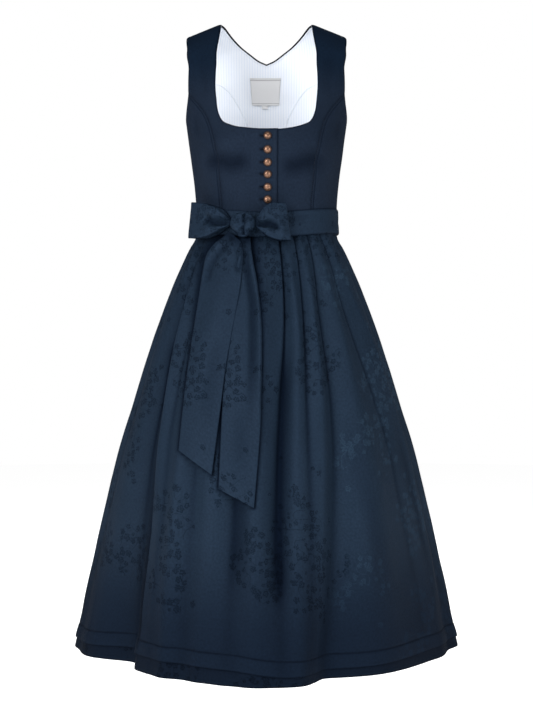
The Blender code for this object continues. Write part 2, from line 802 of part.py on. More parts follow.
def back_folds():
    """Fold lines of the skirt's back, alternating trough and crest."""
    folds = []
    lines = 2 * BACK_PLEATS
    for number in range(1, lines):
        angle = 90 + 180 * number / lines
        depth = 1 + BACK_UNEVEN * math.sin(2.3 * number + 0.6)
        lifts = BACK_TROUGH if number % 2 else BACK_CREST
        marks = [
            At(angle + sway * math.sin(1.9 * number), lift * depth)
            for sway, lift in zip(BACK_SWAY, lifts)
        ]
        folds.append(Fold("trough" if number % 2 else "crest", *marks))
    return folds


def fold_profiles(folds):
    """Profiles of angle and lift down each fold line."""
    angles = [Profile(FOLD_HEIGHTS, [mark.angle for mark in fold[1:]]) for fold in folds]
    lifts = [Profile(FOLD_HEIGHTS, [mark.lift for mark in fold[1:]]) for fold in folds]
    return angles, lifts


def around(folds):
    """The same fold lines with the first one repeated a whole turn on."""
    first = folds[0]
    again = Fold(first.form, *[At(mark.angle + 360, mark.lift) for mark in first[1:]])
    return list(folds) + [again]


ALL_FOLDS = around(list(FRONT_FOLDS) + back_folds())
CREST_FOLDS = around([fold for fold in list(FRONT_FOLDS) + back_folds() if fold.form != "trough"])
ALL_PROFILES = fold_profiles(ALL_FOLDS)
CREST_PROFILES = fold_profiles(CREST_FOLDS)


@functools.lru_cache(maxsize=None)
def folds_at(height, crests_only):
    """Angles and lifts of the fold lines at one height."""
    angles, lifts = CREST_PROFILES if crests_only else ALL_PROFILES
    return [angle(height) for angle in angles], [lift(height) for lift in lifts]


def fold_lift(degrees, height, crests_only=False):
    """Lift off the plain ring, eased between the fold lines on either side."""
    angles, lifts = folds_at(height, crests_only)
    degrees = (degrees - angles[0]) % 360 + angles[0]
    i = min(bisect.bisect_right(angles, degrees) - 1, len(angles) - 2)
    t = (degrees - angles[i]) / (angles[i + 1] - angles[i])
    return lifts[i] + (lifts[i + 1] - lifts[i]) * (1 - math.cos(math.pi * t)) / 2


def ring_radius(turn, half_width, depth, corner):
    """Distance from the axis to an oval ring with slightly full corners."""
    slant = math.atan2(depth * math.sin(turn), half_width * math.cos(turn))
    reach = math.hypot(half_width * math.sin(slant), depth * math.cos(slant))
    return reach * (1 + corner * math.sin(2 * slant) ** 2)


def skirt_radius(turn, height, crests_only=False):
    """Distance from the axis to the skirt's outer face."""
    depth = SKIRT_FRONT(height) if math.cos(turn) > 0 else SKIRT_BACK(height)
    corner = SKIRT_CORNER * (1 - ease(WAIST - height, 0, CORNER_FADE))
    plain = ring_radius(turn, SKIRT_WIDTH(height), depth, corner)
    return plain + fold_lift(math.degrees(turn), height, crests_only)


def skirt(arc, height):
    """Point on the skirt's outer face."""
    turn = arc / ARC_RADIUS
    reach = skirt_radius(turn, height)
    return Vector((reach * math.sin(turn), -reach * math.cos(turn), height))


def line_angle(number, height):
    """Angle of a numbered fold line, counted on past a whole turn either way."""
    angles = folds_at(height, False)[0]
    turns, place = divmod(number, len(angles) - 1)
    return angles[place] + 360 * turns


def fold_columns(first, last):
    """Columns between two fold lines, as a line number and a fraction to the next one."""
    marks = []
    for number in range(first, last):
        gap = line_angle(number + 1, HEM) - line_angle(number, HEM)
        parts = 3 if gap > WIDE_FOLD else 2
        marks += [(number, i / parts) for i in range(parts)]
    return marks + [(last, 0.0)]


def skirt_place(mark, fraction, shift=0.0):
    """Arc and height of one column at a fraction of the way down the skirt."""
    number, part = mark
    height = WAIST + (HEM - WAIST) * fraction
    degrees = 0.0
    for _ in range(3):
        start = line_angle(number, height)
        degrees = start + (line_angle(number + 1, height) - start) * part
        top = waist_height(math.radians(degrees)) - SEAM_GAP / 2
        height = top + (HEM - top) * fraction
    return (math.radians(degrees) * ARC_RADIUS + shift, height)


def skirt_rows(marks, shifts, to_apron_hem=False):
    """Grid of places down the skirt, with a row at the apron's hem."""
    grid = []
    for fraction in ROW_FRACTIONS:
        grid.append([skirt_place(mark, fraction, shift) for mark, shift in zip(marks, shifts)])
    edge = []
    for mark, shift in zip(marks, shifts):
        arc, height = skirt_place(mark, 1.0, shift)
        degrees = math.degrees(arc / ARC_RADIUS)
        facing = (degrees + 180) % 360 - 180
        facing = min(APRON_RISES[-1].angle, max(APRON_RISES[0].angle, facing))
        edge.append((arc, height + APRON_RISE(facing)))
    grid.append(edge)
    if not to_apron_hem:
        grid.append([skirt_place(mark, 1.0, shift) for mark, shift in zip(marks, shifts)])
    return grid


def seam_shifts(count):
    """Side shift of each column: only the two edge columns move in, for the seam."""
    shift = SEAM_GAP / 2
    return [shift] + [0.0] * (count - 2) + [-shift]


def make_skirt():
    """Front and back of the skirt, and the apron wrapped over the front."""
    side = len(FRONT_FOLDS) - 1
    front = fold_columns(0, side)
    back = fold_columns(side, len(ALL_FOLDS) - 1)
    for name, marks in (("skirt_front", front), ("skirt_back", back)):
        rows = skirt_rows(marks, seam_shifts(len(marks)))
        grid_cloth(name, skirt, rows, even(0.0), even(-SKIRT_WALL), SKIRT_CLOTH, level=True)
    # The apron reaches one fold line past each side seam
    marks = fold_columns(-1, side + 1)
    rows = skirt_rows(marks, [0.0] * len(marks), to_apron_hem=True)
    outer, inner = even(LAYER_GAP + APRON_WALL), even(LAYER_GAP)
    grid_cloth("apron", skirt, rows, outer, inner, APRON_CLOTH, level=True)


def belt_reach(turn, share):
    """Distance from the axis to the belt's inner face, from its bottom edge to its top."""
    degrees = (math.degrees(turn) + 180) % 360 - 180
    over = ease(degrees, LAP_WINDOW[0], LAP_WINDOW[1]) - ease(degrees, LAP_WINDOW[2], LAP_WINDOW[3])
    seam = waist_height(turn)
    top = seam + BELT_HALF_HEIGHT
    depth = BODICE_FRONT(top) if math.cos(turn) > 0 else BODICE_BACK(top)
    upper = ring_radius(turn, BODICE_WIDTH(top), depth, BODICE_CORNER)
    upper += over * (BODICE_WALL + LAP_GAP)
    low = seam - BELT_HALF_HEIGHT
    lower = skirt_radius(turn, low, crests_only=True) + LAYER_GAP + APRON_WALL
    lower += BELT_FLARE
    return lower + (upper - lower) * share + BELT_CLEARANCE


def belt(arc, rise):
    """Point on the belt's inner face at a height above the waist seam."""
    turn = arc / ARC_RADIUS
    reach = belt_reach(turn, (rise / BELT_HALF_HEIGHT + 1) / 2)
    return Vector((reach * math.sin(turn), -reach * math.cos(turn), waist_height(turn) + rise))


def make_belt():
    """Apron waistband and tie round the waist, in a front and a back length."""
    split = math.radians(BELT_SPLIT) * ARC_RADIUS
    whole = 2 * math.pi * ARC_RADIUS
    lengths = (
        ("belt_front", -split, split, BELT_COLUMNS_FRONT),
        ("belt_back", split, whole - split, BELT_COLUMNS_BACK),
    )
    for name, start, end, count in lengths:
        start += SEAM_GAP / 2
        end -= SEAM_GAP / 2
        arcs = [start + (end - start) * i / count for i in range(count + 1)]
        rises = [BELT_HALF_HEIGHT * share for share in (1.0, 0.0, -1.0)]
        grid = [[(arc, rise) for arc in arcs] for rise in rises]
        grid_cloth(name, belt, grid, even(BELT_WALL), even(0.0), TIE_CLOTH, level=True)


def off_belt(degrees, height, stand_off):
    """Point at an absolute height, standing off the belt's outer face."""
    turn = math.radians(degrees)
    share = (height - waist_height(turn)) / BELT_HALF_HEIGHT
    share = (min(1.0, max(-1.0, share)) + 1) / 2
    reach = belt_reach(turn, share) + BELT_WALL
    before, after = turn - TURN_STEP, turn + TURN_STEP
    first_reach = belt_reach(before, share) + BELT_WALL
    second_reach = belt_reach(after, share) + BELT_WALL
    first = Vector((first_reach * math.sin(before), -first_reach * math.cos(before), 0))
    second = Vector((second_reach * math.sin(after), -second_reach * math.cos(after), 0))
    along = (second - first).normalized()
    out = Vector((along.y, -along.x, 0))
    return Vector((reach * math.sin(turn), -reach * math.cos(turn), height)) + out * stand_off


def make_knot():
    """Rounded knot of the bow, just clear of the belt."""
    centre = off_belt(KNOT_ANGLE, KNOT_HEIGHT, KNOT_HALF[2] + LAYER_GAP)
    out = (off_belt(KNOT_ANGLE, KNOT_HEIGHT, 1.0) - off_belt(KNOT_ANGLE, KNOT_HEIGHT, 0.0)).normalized()
    up = Vector((0, 0, 1))
    along = up.cross(out)
    shape = bmesh.new()
    bmesh.ops.create_uvsphere(shape, u_segments=KNOT_SEGMENTS, v_segments=KNOT_RINGS, radius=1.0)
    points = []
    for corner in shape.verts:
        x, y, z = corner.co
        stretched = [math.copysign(abs(part) ** KNOT_FULLNESS, part) for part in (x, z, y)]
        points.append(
            centre
            + along * KNOT_HALF[0] * stretched[0]
            + up * KNOT_HALF[1] * stretched[1]
            + out * KNOT_HALF[2] * stretched[2]
        )
    faces = [[corner.index for corner in face.verts] for face in shape.faces]
    shape.free()
    add_object("bow_knot", points, faces, TIE_CLOTH)


def make_loop(name, rows, lean):
    """One loop of the bow: a ribbon that leaves the knot, turns and comes back."""
    places = list(range(len(rows)))
    angle, stand_off, middle, half, pinch = (
        Profile(places, [getattr(row, field) for row in rows]) for field in LoopRow._fields
    )

    def ribbon(u, v):
        """Point on the ribbon along its path and across it."""
        spread = half(u)
        degrees = angle(u) + lean * v * (spread / LOOP_HALF_MAX) ** 2
        off = stand_off(u) - pinch(u) * math.cos(math.pi * v / 2) ** 2
        return off_belt(degrees, middle(u) + spread * v, off)

    top = len(rows) - 1
    grid = []
    for v in (1.0, 0.5, 0.0, -0.5, -1.0):
        grid.append([(top * i / LOOP_STEPS, v) for i in range(LOOP_STEPS + 1)])
    half_wall = TIE_WALL / 2
    grid_cloth(name, ribbon, grid, even(half_wall), even(-half_wall), TIE_CLOTH, step=0.01)


def make_tail(name, rows, swell):
    """One hanging end of the tie, lying over the apron's crests."""
    places = list(range(len(rows)))
    outer_x, outer_z, inner_x, inner_z, lift = (
        Profile(places, [getattr(row, field) for row in rows]) for field in TailRow._fields
    )

    def ribbon(u, v):
        """Point on the tail's outer face across it and down it."""
        x = outer_x(-v) + (inner_x(-v) - outer_x(-v)) * u
        height = outer_z(-v) + (inner_z(-v) - outer_z(-v)) * u
        turn = 0.0
        reach = 1.0
        for _ in range(SETTLE_STEPS):
            reach = skirt_radius(turn, height, crests_only=True) + lift(-v)
            reach += swell * math.sin(math.pi * u) ** 2
            turn = math.asin(max(-1.0, min(1.0, x / reach)))
        return Vector((reach * math.sin(turn), -reach * math.cos(turn), height))

    last = len(rows) - 1
    grid = []
    for j in range(TAIL_STEPS + 1):
        grid.append([(i / TAIL_COLUMNS, -last * j / TAIL_STEPS) for i in range(TAIL_COLUMNS + 1)])
    grid_cloth(name, ribbon, grid, even(0.0), even(-TIE_WALL), TIE_CLOTH, step=0.01)


def main():
    """Build every piece of the dress in an empty scene."""
    for old in list(bpy.data.objects):
        bpy.data.objects.remove(old, do_unlink=True)
    make_bodice()
    make_label("label", LABEL_CENTRE, LABEL_SIZE, LABEL_PARTS)
    make_label("size_tab", TAB_CENTRE, TAB_SIZE, TAB_PARTS)
    make_buttons()
    make_skirt()
    make_belt()
    make_knot()
    make_loop("bow_loop_right", RIGHT_LOOP, RIGHT_LOOP_LEAN)
    make_loop("bow_loop_left", LEFT_LOOP, LEFT_LOOP_LEAN)
    make_tail("bow_tail_right", RIGHT_TAIL, RIGHT_TAIL_SWELL)
    make_tail("bow_tail_left", LEFT_TAIL, LEFT_TAIL_SWELL)


main()
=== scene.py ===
"""Dressing of the dirndl: thin cloth shells on the frame's forms, with their creases, jacquard
flowers, striped lining, copper buttons and stitching, and a plain pale studio.

Tables and constants are in millimetres, and angles are degrees from the front centre towards
+X, the wearer's left. The front faces -Y and +Z is up.
"""
import json
import math
from collections import namedtuple
from functools import partial, partialmethod

import bpy
import numpy as np
from bpy.props import FloatProperty, FloatVectorProperty, IntProperty, PointerProperty
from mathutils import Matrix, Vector
from mathutils.geometry import delaunay_2d_cdt

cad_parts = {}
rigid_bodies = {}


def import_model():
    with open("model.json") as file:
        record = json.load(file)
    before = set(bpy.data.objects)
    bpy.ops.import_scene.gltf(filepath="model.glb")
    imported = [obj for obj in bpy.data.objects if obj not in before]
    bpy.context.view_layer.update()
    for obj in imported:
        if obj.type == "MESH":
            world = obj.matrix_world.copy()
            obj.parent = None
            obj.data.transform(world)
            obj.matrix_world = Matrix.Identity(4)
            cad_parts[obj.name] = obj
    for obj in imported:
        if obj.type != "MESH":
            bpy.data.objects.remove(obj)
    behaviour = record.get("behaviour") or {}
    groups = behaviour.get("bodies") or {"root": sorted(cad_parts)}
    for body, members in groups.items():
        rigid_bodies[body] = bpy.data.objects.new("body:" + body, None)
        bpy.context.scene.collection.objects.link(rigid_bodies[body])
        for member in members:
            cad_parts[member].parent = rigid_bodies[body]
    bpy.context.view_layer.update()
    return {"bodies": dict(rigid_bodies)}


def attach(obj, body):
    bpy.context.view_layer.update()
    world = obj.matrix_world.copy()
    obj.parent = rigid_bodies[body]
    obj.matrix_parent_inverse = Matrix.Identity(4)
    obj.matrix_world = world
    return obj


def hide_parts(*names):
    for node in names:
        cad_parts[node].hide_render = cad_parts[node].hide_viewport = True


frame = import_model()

bl_info = {
    "name": "Dirndl dressing",
    "version": (1, 0, 0),
    "blender": (4, 5, 0),
    "location": "3D View > Sidebar > Dirndl",
    "description": "Builds the cloth, buttons and stitching of a dirndl on its frame",
    "category": "Object",
}

METRE = 0.001
SIDES = (("right", False), ("left", True))


def table(kind, *rows):
    """Rows of plain values as entries of one kind."""
    return tuple(kind(*row) for row in rows)


def fold(form, *places):
    """A fold line from its form and the angles and lifts down its length."""
    return Fold(form, *(At(*pair) for pair in zip(places[::2], places[1::2])))


# Walls of the cloth, and the clear gaps between pieces
BODICE_WALL = 1.6
LINING_WALL = 1.0
APRON_WALL = 1.4
BELT_WALL = 2.4
TIE_WALL = 1.6
LABEL_WALL = 1.0
LABEL_GAP = 0.8
SEAM_GAP = 0.3
LAYER_GAP = 0.5
LINING_GAP = 0.9
LAP_GAP = 1.0

# Angles are also held as a length: arc on a circle of this radius
ARC_RADIUS = 130.0
BODICE_CORNER = 0.03

# Fineness of the searches and slopes worked out on the surfaces, and the angle of a sharp edge
SEARCH_STEPS = 40
SETTLE_STEPS = 12
GRID_SETTLE_STEPS = 3
NORMAL_STEP = 0.2
RIBBON_STEP = 0.01
PARALLEL_EDGES = 0.05
TURN_STEP = 0.01
SHARP_EDGE = 50.0

# Heights of the waist seam, its dip at the front, the skirt's hem and the belt
WAIST = -351.0
WAIST_DIP = 13.0
HEM = -1123.6
BELT_HALF_HEIGHT = 22.5

# Shoulder crest: height beside the neck, slope outwards, and how far down it rounds over
NECK_SIDE = 82.0
SHOULDER_TIP = 146.4
CREST_HEIGHT = 11.5
CREST_SLOPE = 0.394
SHOULDER_ROUND = 45.0

BodiceRing = namedtuple("BodiceRing", "height half_width front_depth back_depth")
BODICE_RINGS = table(BodiceRing, (-365, 127.2, 96, 88), (-313, 129, 102, 88),
    (-262, 134.4, 116, 92), (-221, 140, 122, 98), (-187, 144.7, 114, 101.5),
    (-167, 147.5, 109, 104), (-122, 155, 97, 105), (-80, 170, 82, 97), (-50, 190, 70, 88),
    (-10, 196, 56, 76), (40, 196, 48, 70))

# The cups that the front seams shape: place, size and fullness of each
CUP_X = 72.0
CUP_HEIGHT = -218.0
CUP_WIDTH = 40.0
CUP_RISE = 46.0
CUP_FULLNESS = 7.0

# Edges and seams of the wearer's left half, from the top down, as x and height
CREST = "crest"
EdgePoint = namedtuple("EdgePoint", "x height")
FRONT_NECKLINE = table(EdgePoint, (82, CREST), (84.8, -25.7), (89, -57.6), (90.4, -93.6),
    (90.4, -121.8), (88.2, -145.5), (83.6, -169.4), (76.7, -181.7), (64, -188.5), (43.9, -194.3),
    (17.1, -197.8), (0, -198.3))
NECK_FOOT = -198.0
FRONT_ARMHOLE = table(EdgePoint, (146.4, CREST), (144.3, -38), (142.4, -66), (141.8, -98),
    (142.3, -126))
FRONT_UNDERARM = table(EdgePoint, (142.3, -126), (144.6, -142), (146.8, -157), (147.5, -167))
# A seam's last point, of no height, lies on the waist seam
FRONT_SEAM = table(EdgePoint, (142.3, -126), (127, -146), (114, -164.5), (105.5, -183),
    (97, -215.5), (91.5, -250), (87, -285), (84, -318), (82.5, None))
BACK_NECKLINE = table(EdgePoint, (82, CREST), (66, 3.6), (47.3, -12.7), (28.1, -26.9),
    (13.6, -36.8), (0, -42.5))
BACK_ARMHOLE = table(EdgePoint, (146.4, CREST), (144.3, -38), (142, -79))
BACK_UNDERARM = table(EdgePoint, (142, -79), (141.8, -110), (143.4, -136), (146.3, -157),
    (147.5, -167))
BACK_SEAM = table(EdgePoint, (142, -79), (118, -78), (93.5, -82), (77.5, -89), (62, -107),
    (48.5, -130.5), (39, -152), (33, -200), (30.5, -270), (31, None))

# Front closure: the right front laps over the left one
LAP_EDGE = 20.5
UNDERLAP_EDGE = -15.0
LAP_RAMP = (-53.0, -35.0)
NECK_EDGE_TURN = 2.3
BUTTON_X = 2.0
BUTTON_HEIGHTS = (-212, -235, -256.6, -276.5, -298, -319.6)

LABEL_CENTRE = EdgePoint(-1.9, -92.5)
LABEL_SIZE = (55.0, 51.0)
TAB_CENTRE = EdgePoint(-2.9, -121.6)
TAB_SIZE = (11.5, 6.6)

SkirtRing = namedtuple("SkirtRing", "height half_width front_depth back_depth")
SKIRT_RINGS = table(SkirtRing, (-1123.6, 347, 288.5, 301), (-1094, 341.7, 286.5, 298),
    (-1023, 328.9, 278.5, 287), (-961, 314.7, 268.5, 275), (-895, 299.9, 256.5, 261),
    (-838, 286.3, 245.5, 247), (-763, 267.8, 230.5, 228), (-682.6, 242.3, 210.5, 206),
    (-602, 218, 188.5, 181), (-512, 186.8, 158.5, 149), (-448.5, 161.3, 133.5, 124),
    (-397, 137.3, 107.5, 99), (-382.5, 128.6, 98.5, 90.5), (-351, 125.5, 94.5, 87))
SKIRT_CORNER = 0.03
CORNER_FADE = 150.0

# Fold lines of the skirt's front, from the right side seam round to the left one. The
# angles and the lifts off the plain ring are read at these five heights.
FOLD_HEIGHTS = (-1123.6, -895, -690, -512, -382.5)
Fold = namedtuple("Fold", "form hem knee thigh hip belt")
At = namedtuple("At", "angle lift")
FRONT_FOLDS = table(fold,
    ("seam", -90, 0, -90, 0, -90, 0, -90, 0, -90, 0),
    ("trough", -82, -11, -81, -10, -80, -8, -80, -5, -79, -2),
    ("crest", -76, -12, -73, -9, -70, -4, -69, -1, -69, 1),
    ("trough", -58, -62, -57, -34, -58, -17, -60.5, -8, -61.5, -2.5),
    ("crest", -46.4, -21, -45.5, -6, -50, 2, -54.5, 4, -57, 0.8),
    ("trough", -41, -12, -40.5, -4, -44, -5, -45.5, -6, -44, -2.5),
    ("crest", -34, 2, -34.5, 10, -37, 5, -39, 3, -40, 0.8),
    ("trough", -28, -1, -28.5, -1, -30, -4, -30.5, -6, -30.5, -2.5),
    ("crest", -20.5, 12, -21.5, 8, -23, 5, -24, 3, -26, 0.8),
    ("trough", -11.5, 23, -12.3, 0, -13.5, -4, -14.5, -6, -15.5, -2.5),
    ("crest", -3.4, 34, -4, 16, -4.5, 9, -4, 5, -4, 1.5),
    ("trough", 4.4, 31, 4.4, -3, 6.8, -9, 12, -8, 13, -2.5),
    ("crest", 9.6, 28, 11.3, 14, 13.8, 5, 17.6, 4, 17, 1),
    ("trough", 12.4, 20, 16, 6, 18.6, 0, 23.5, -5, 27.5, -2.5),
    ("crest", 15, 3, 20.5, 0, 24.4, 4, 28.4, 4, 31, 1),
    ("trough", 19.5, -21, 27, -21, 32, -13, 34.5, -7, 41, -2.5),
    ("crest", 37.5, -14, 41, 3, 42.6, 4, 43.6, 3, 45.5, 1),
    ("trough", 64, -26, 61, -15, 58, -7, 53, -7, 54.5, -2.5),
    ("crest", 73.5, -20, 72, -8, 69, -2, 64, 1, 60, 1),
    ("trough", 81.5, -21, 81, -13, 80, -8, 77, -5, 75, -2),
    ("seam", 90, 0, 90, 0, 90, 0, 90, 0, 90, 0))

# The back's folds repeat between the side seams, uneven in place and depth
BACK_PLEATS = 7
BACK_TROUGH = (-20.0, -15.0, -10.0, -7.0, -2.5)
BACK_CREST = (9.0, 7.0, 5.0, 3.0, 1.0)
BACK_SWAY = (2.6, 2.2, 1.6, 1.0, 0.3)
BACK_UNEVEN = 0.35
BACK_DEPTH_WAVE = (2.3, 0.6)
BACK_SWAY_WAVE = 1.9

# Height of the apron's hem above the skirt's
RiseAt = namedtuple("RiseAt", "angle rise")
APRON_RISES = table(RiseAt, (-120, 18), (-90, 18), (-46, 27), (-20, 25), (-7, 23), (6, 15),
    (28, 15), (65, 19), (90, 18), (120, 18))

# Belt: angle of its two seams, room inside it, and where it rides up over the lapped closure
BELT_SPLIT = 104.0
BELT_CLEARANCE = 0.5
BELT_FLARE = 1.5
LAP_RISE = (-36.0, -27.0)
LAP_FALL = (13.0, 21.0)

# Knot of the bow: place, and half its width, height and thickness
KNOT_ANGLE = -20.6
KNOT_HEIGHT = -366.0
KNOT_HALF = (22.0, 21.5, 12.5)

# Path of each bow loop from the back of the knot out and round to its front
LoopRow = namedtuple("LoopRow", "angle stand_off middle half_height pinch")
RIGHT_LOOP = table(LoopRow, (-30.9, 5, -361, 7, 0), (-40, 1.5, -357, 20, 0), (-51, 2, -357, 29, 0),
    (-60.5, 6.5, -355, 32, 0), (-66, 14.5, -353, 32, 0), (-66, 22.5, -353, 32, 0),
    (-58.5, 24, -355, 31.5, 1), (-49, 24.5, -357, 28, 4), (-40.5, 21, -357.5, 19, 6),
    (-30.9, 14, -361, 7, 1))
LEFT_LOOP = table(LoopRow, (-9.6, 4, -362, 10, 0), (-3, 1.7, -361, 23, 0), (4, 1.7, -361, 30, 0),
    (11.5, 4.5, -361, 33, 0), (17, 11.5, -361, 33, 0), (17.6, 19, -361, 33, 0),
    (12, 24, -361, 33, 2), (4.5, 24.5, -361, 31, 5), (-3, 21, -361.5, 22, 7),
    (-9.6, 13.5, -362, 10, 1))
LOOP_HALF_MAX = 33.0

# Edges of each hanging end of the tie, from the knot down, and its height off the skirt
TailRow = namedtuple("TailRow", "outer_x outer_height inner_x inner_height lift")
RIGHT_TAIL = table(TailRow, (-67.2, -375, -47.2, -392.5, 17), (-76.5, -385, -42.5, -402, 15),
    (-89.8, -394.5, -40.8, -419.5, 12.5), (-106, -416, -42.4, -442.7, 10.5),
    (-112.8, -451.5, -44.7, -472.7, 9.5), (-119.7, -499.4, -51.3, -512.8, 9),
    (-127.3, -555.3, -60.3, -562.6, 8.8), (-135.5, -618.7, -69.9, -621.8, 8.8),
    (-142.8, -686.1, -78.4, -693.3, 9), (-148.3, -752.4, -90.7, -791.4, 9))
LEFT_TAIL = table(TailRow, (-45, -388.8, -28.5, -386.8, 11), (-52, -404.6, -27, -404.5, 10),
    (-62, -431.3, -22.5, -432, 7.5), (-67.5, -468.7, -15.5, -469.3, 6),
    (-70.5, -519.4, -9.4, -519.8, 5.5), (-72.2, -576.2, -7.1, -576.2, 5.2),
    (-73.2, -643.6, -8, -648.4, 5.2), (-75.9, -708.2, -10.8, -727.4, 5.2),
    (-79.9, -813.9, -20.1, -843.5, 5.2))

# Sharp pleats pressed into the skirt's troughs, by fold number, and how deep and wide they
# are at the heights of FOLD_HEIGHTS
PLEAT_SHARPNESS = {1: 0.3, 3: 0.4, 5: 0.3, 7: 0.45, 9: 0.45, 11: 1.0, 13: 0.75, 15: 0.6,
    17: 0.4, 19: 0.3}
BACK_SHARPNESS = 0.6
PLEAT_DEPTHS = (0.0, 1.0, 3.5, 6.5, 5.0)
PLEAT_STEEP_WIDTHS = (9.0, 7.0, 4.0, 1.8, 1.2)
PLEAT_SLOPE_WIDTHS = (20.0, 16.0, 12.0, 7.5, 4.0)
# Millimetres of cloth drawn for each degree, and the angle behind the side seam to count from
CLOTH_DRAW = 3.0
CLOTH_START = -100.0

# A crease is a soft trough or ridge along a line, wider on one side of it or the other
Crease = namedtuple("Crease", "lift left right fade line")


def crease(lift, left, right, fade, *places):
    """A crease from its height, widths and fade, and the places along its line."""
    return Crease(lift, left, right, fade, list(zip(places[::2], places[1::2])))


# Lines as degrees and height
SKIRT_CREASES = table(crease,
    (-6.0, 9, 8, 90, 12, -560, 9.2, -640, 6.6, -740, 4.4, -895, 4.3, -1030),
    (-7.0, 2.5, 16, 60, -57.8, -420, -55.6, -512, -51.3, -690, -47.0, -895, -47.9, -1105),
    (-5.0, 13, 12, 120, -8, -600, -10, -700, -11, -860, -11, -1020),
    (3.0, 16, 14, 120, -17, -640, -17, -800, -16, -1000),
    (2.5, 14, 18, 120, -30, -600, -33, -760, -34, -960),
    (4.5, 11, 11, 90, -45.5, -450, -44.5, -690, -41, -895, -41, -1080),
    (2.4, 20, 6, 110, 60, -470, 67, -560, 72, -720, 75, -900, 77, -1050),
    (-2.6, 8, 14, 100, 67, -700, 71, -850, 74, -1000),
    (-2.4, 18, 16, 130, 33, -640, 37, -760, 41, -900, 44, -1040),
    (2.2, 20, 16, 110, 26, -560, 30, -700, 33, -860, 33, -1000),
    (-2.4, 7, 10, 18, -60, -625, -55, -640, -51, -642),
    (-2.4, 7, 10, 18, -60, -668, -55, -680, -51, -684),
    (-2.5, 12, 10, 90, 100, -520, 104, -700, 107, -900),
    (2.6, 16, 11, 100, 128, -460, 124, -640, 122, -860, 121, -1000),
    (-2.8, 11, 15, 100, 152, -520, 149, -700, 150, -900),
    (2.8, 13, 17, 100, 176, -470, 179, -650, 181, -900),
    (-2.6, 14, 11, 100, 203, -480, 207, -650, 209, -860),
    (2.7, 16, 13, 100, 229, -520, 233, -760, 236, -980),
    (-2.4, 13, 12, 80, 252, -500, 250, -640, 248, -800))
# Soft shade with no form of its own, as a share of full shade
SKIRT_SHADES = table(crease,
    (0.75, 4, 20, 60, -56, -400, -56, -512, -53, -690, -49.5, -895, -49.5, -1110),
    (0.3, 5, 5, 30, -62, -560, -58, -640, -54, -652),
    (0.35, 14, 14, 60, -2, -430, -2.5, -512, -3.5, -640, -4, -760))
# Lines as x and height on the bodice's front and, below, on its back
FRONT_CREASES = table(crease,
    (-2.9, 17, 15, 30, -118, -240, -92, -252, -60, -258, -18, -252),
    (-3.0, 15, 18, 30, 14, -266, 50, -261, 80, -252, 108, -238),
    (1.6, 16, 18, 30, -96, -292, -62, -306, -25, -308),
    (1.5, 18, 16, 30, 28, -306, 62, -300, 94, -280),
    (1.2, 4, 5, 18, -136, -160, -133, -190, -126, -215),
    (-1.2, 4, 5, 18, -129, -158, -127, -185, -120, -208),
    (1.4, 7, 6, 25, -129, -222, -121, -250, -109, -282),
    (1.3, 7, 7, 25, 127, -215, 122, -246, 109, -280),
    (-1.1, 5, 6, 20, 134, -165, 130, -190, 122, -214),
    (-0.8, 6, 7, 20, -118, -60, -112, -100, -104, -140),
    (-0.8, 7, 6, 20, 116, -50, 113, -95, 106, -135))
BACK_CREASES = table(crease,
    (-1.4, 8, 8, 25, -96, -300, -62, -290, -28, -296),
    (-1.2, 8, 8, 25, 24, -300, 58, -288, 92, -296),
    (1.2, 7, 7, 30, -104, -210, -84, -240, -56, -262),
    (1.1, 7, 7, 30, 100, -200, 86, -236, 58, -256),
    (-1.0, 7, 7, 25, -22, -150, 0, -162, 22, -152),
    (0.9, 9, 9, 30, -60, -60, -30, -80, 0, -86, 30, -80, 60, -60))
# Lines as millimetres from the knot and height from the loop's middle, on the loop's face
RIGHT_LOOP_CREASES = table(crease,
    (-6.0, 7, 4.5, 10, 2, -3.5, 18, -5.5, 33, -4, 43, 1.5, 47, 10),
    (3.4, 9, 7, 14, 5, 9, 20, 12, 36, 13, 50, 14),
    (3.4, 6, 7, 12, 5, -9, 20, -13, 38, -14, 54, -5),
    (-2.2, 4, 5, 10, 2, 10, 14, 20, 26, 26),
    (-3.2, 4, 5, 9, 3, -10, 14, -21, 26, -27))
LEFT_LOOP_CREASES = table(crease,
    (-6.5, 4, 6, 7, 1, -2, 9, -4, 19, -2, 28, -3, 35, -8, 37, -16),
    (3.6, 7, 5, 10, 16, 8, 30, 7, 42, 3, 47, -6, 44, -18, 34, -25),
    (3.0, 4, 5, 7, 4, -9, 13, -13, 22, -14, 28, -17),
    (2.4, 4, 3, 6, 1, 7, 8, 4, 15, 3.5, 23, 7),
    (-2.0, 5, 4, 9, 4, 9, 14, 19, 26, 25, 40, 27))
# Lines as millimetres across and down from the tail's middle line and top
RIGHT_TAIL_CREASES = table(crease,
    (1.8, 3, 3.5, 16, -9, 0, -19, 24, -30, 56, -34, 96),
    (-3.2, 6, 5, 20, -2, 4, -11, 30, -21, 62, -25, 96),
    (2.2, 14, 13, 50, 8, 40, 4, 110, 2, 190),
    (-4.0, 4, 7, 16, 13, 0, 20, 26, 26, 62),
    (-2.0, 3, 4, 10, 4, 0, 9, 14, 14, 30),
    (2.0, 14, 16, 80, -14, 130, -14, 200, -10, 300),
    (-1.8, 16, 16, 90, 8, 150, 6, 240, 10, 350))
LEFT_TAIL_CREASES = table(crease,
    (3.2, 4, 5, 50, 8, 0, 16, 50, 26, 110, 28, 190, 28, 320),
    (-5.0, 5, 9, 130, -2, -60, 2, 0, 7, 50, 15, 110, 15, 200, 13, 330),
    (-3.0, 5, 5, 20, -12, 0, -22, 30, -27, 70),
    (2.4, 14, 14, 60, -14, 90, -12, 170, -12, 270),
    (-1.8, 14, 16, 80, 2, 260, 0, 340, 4, 430))
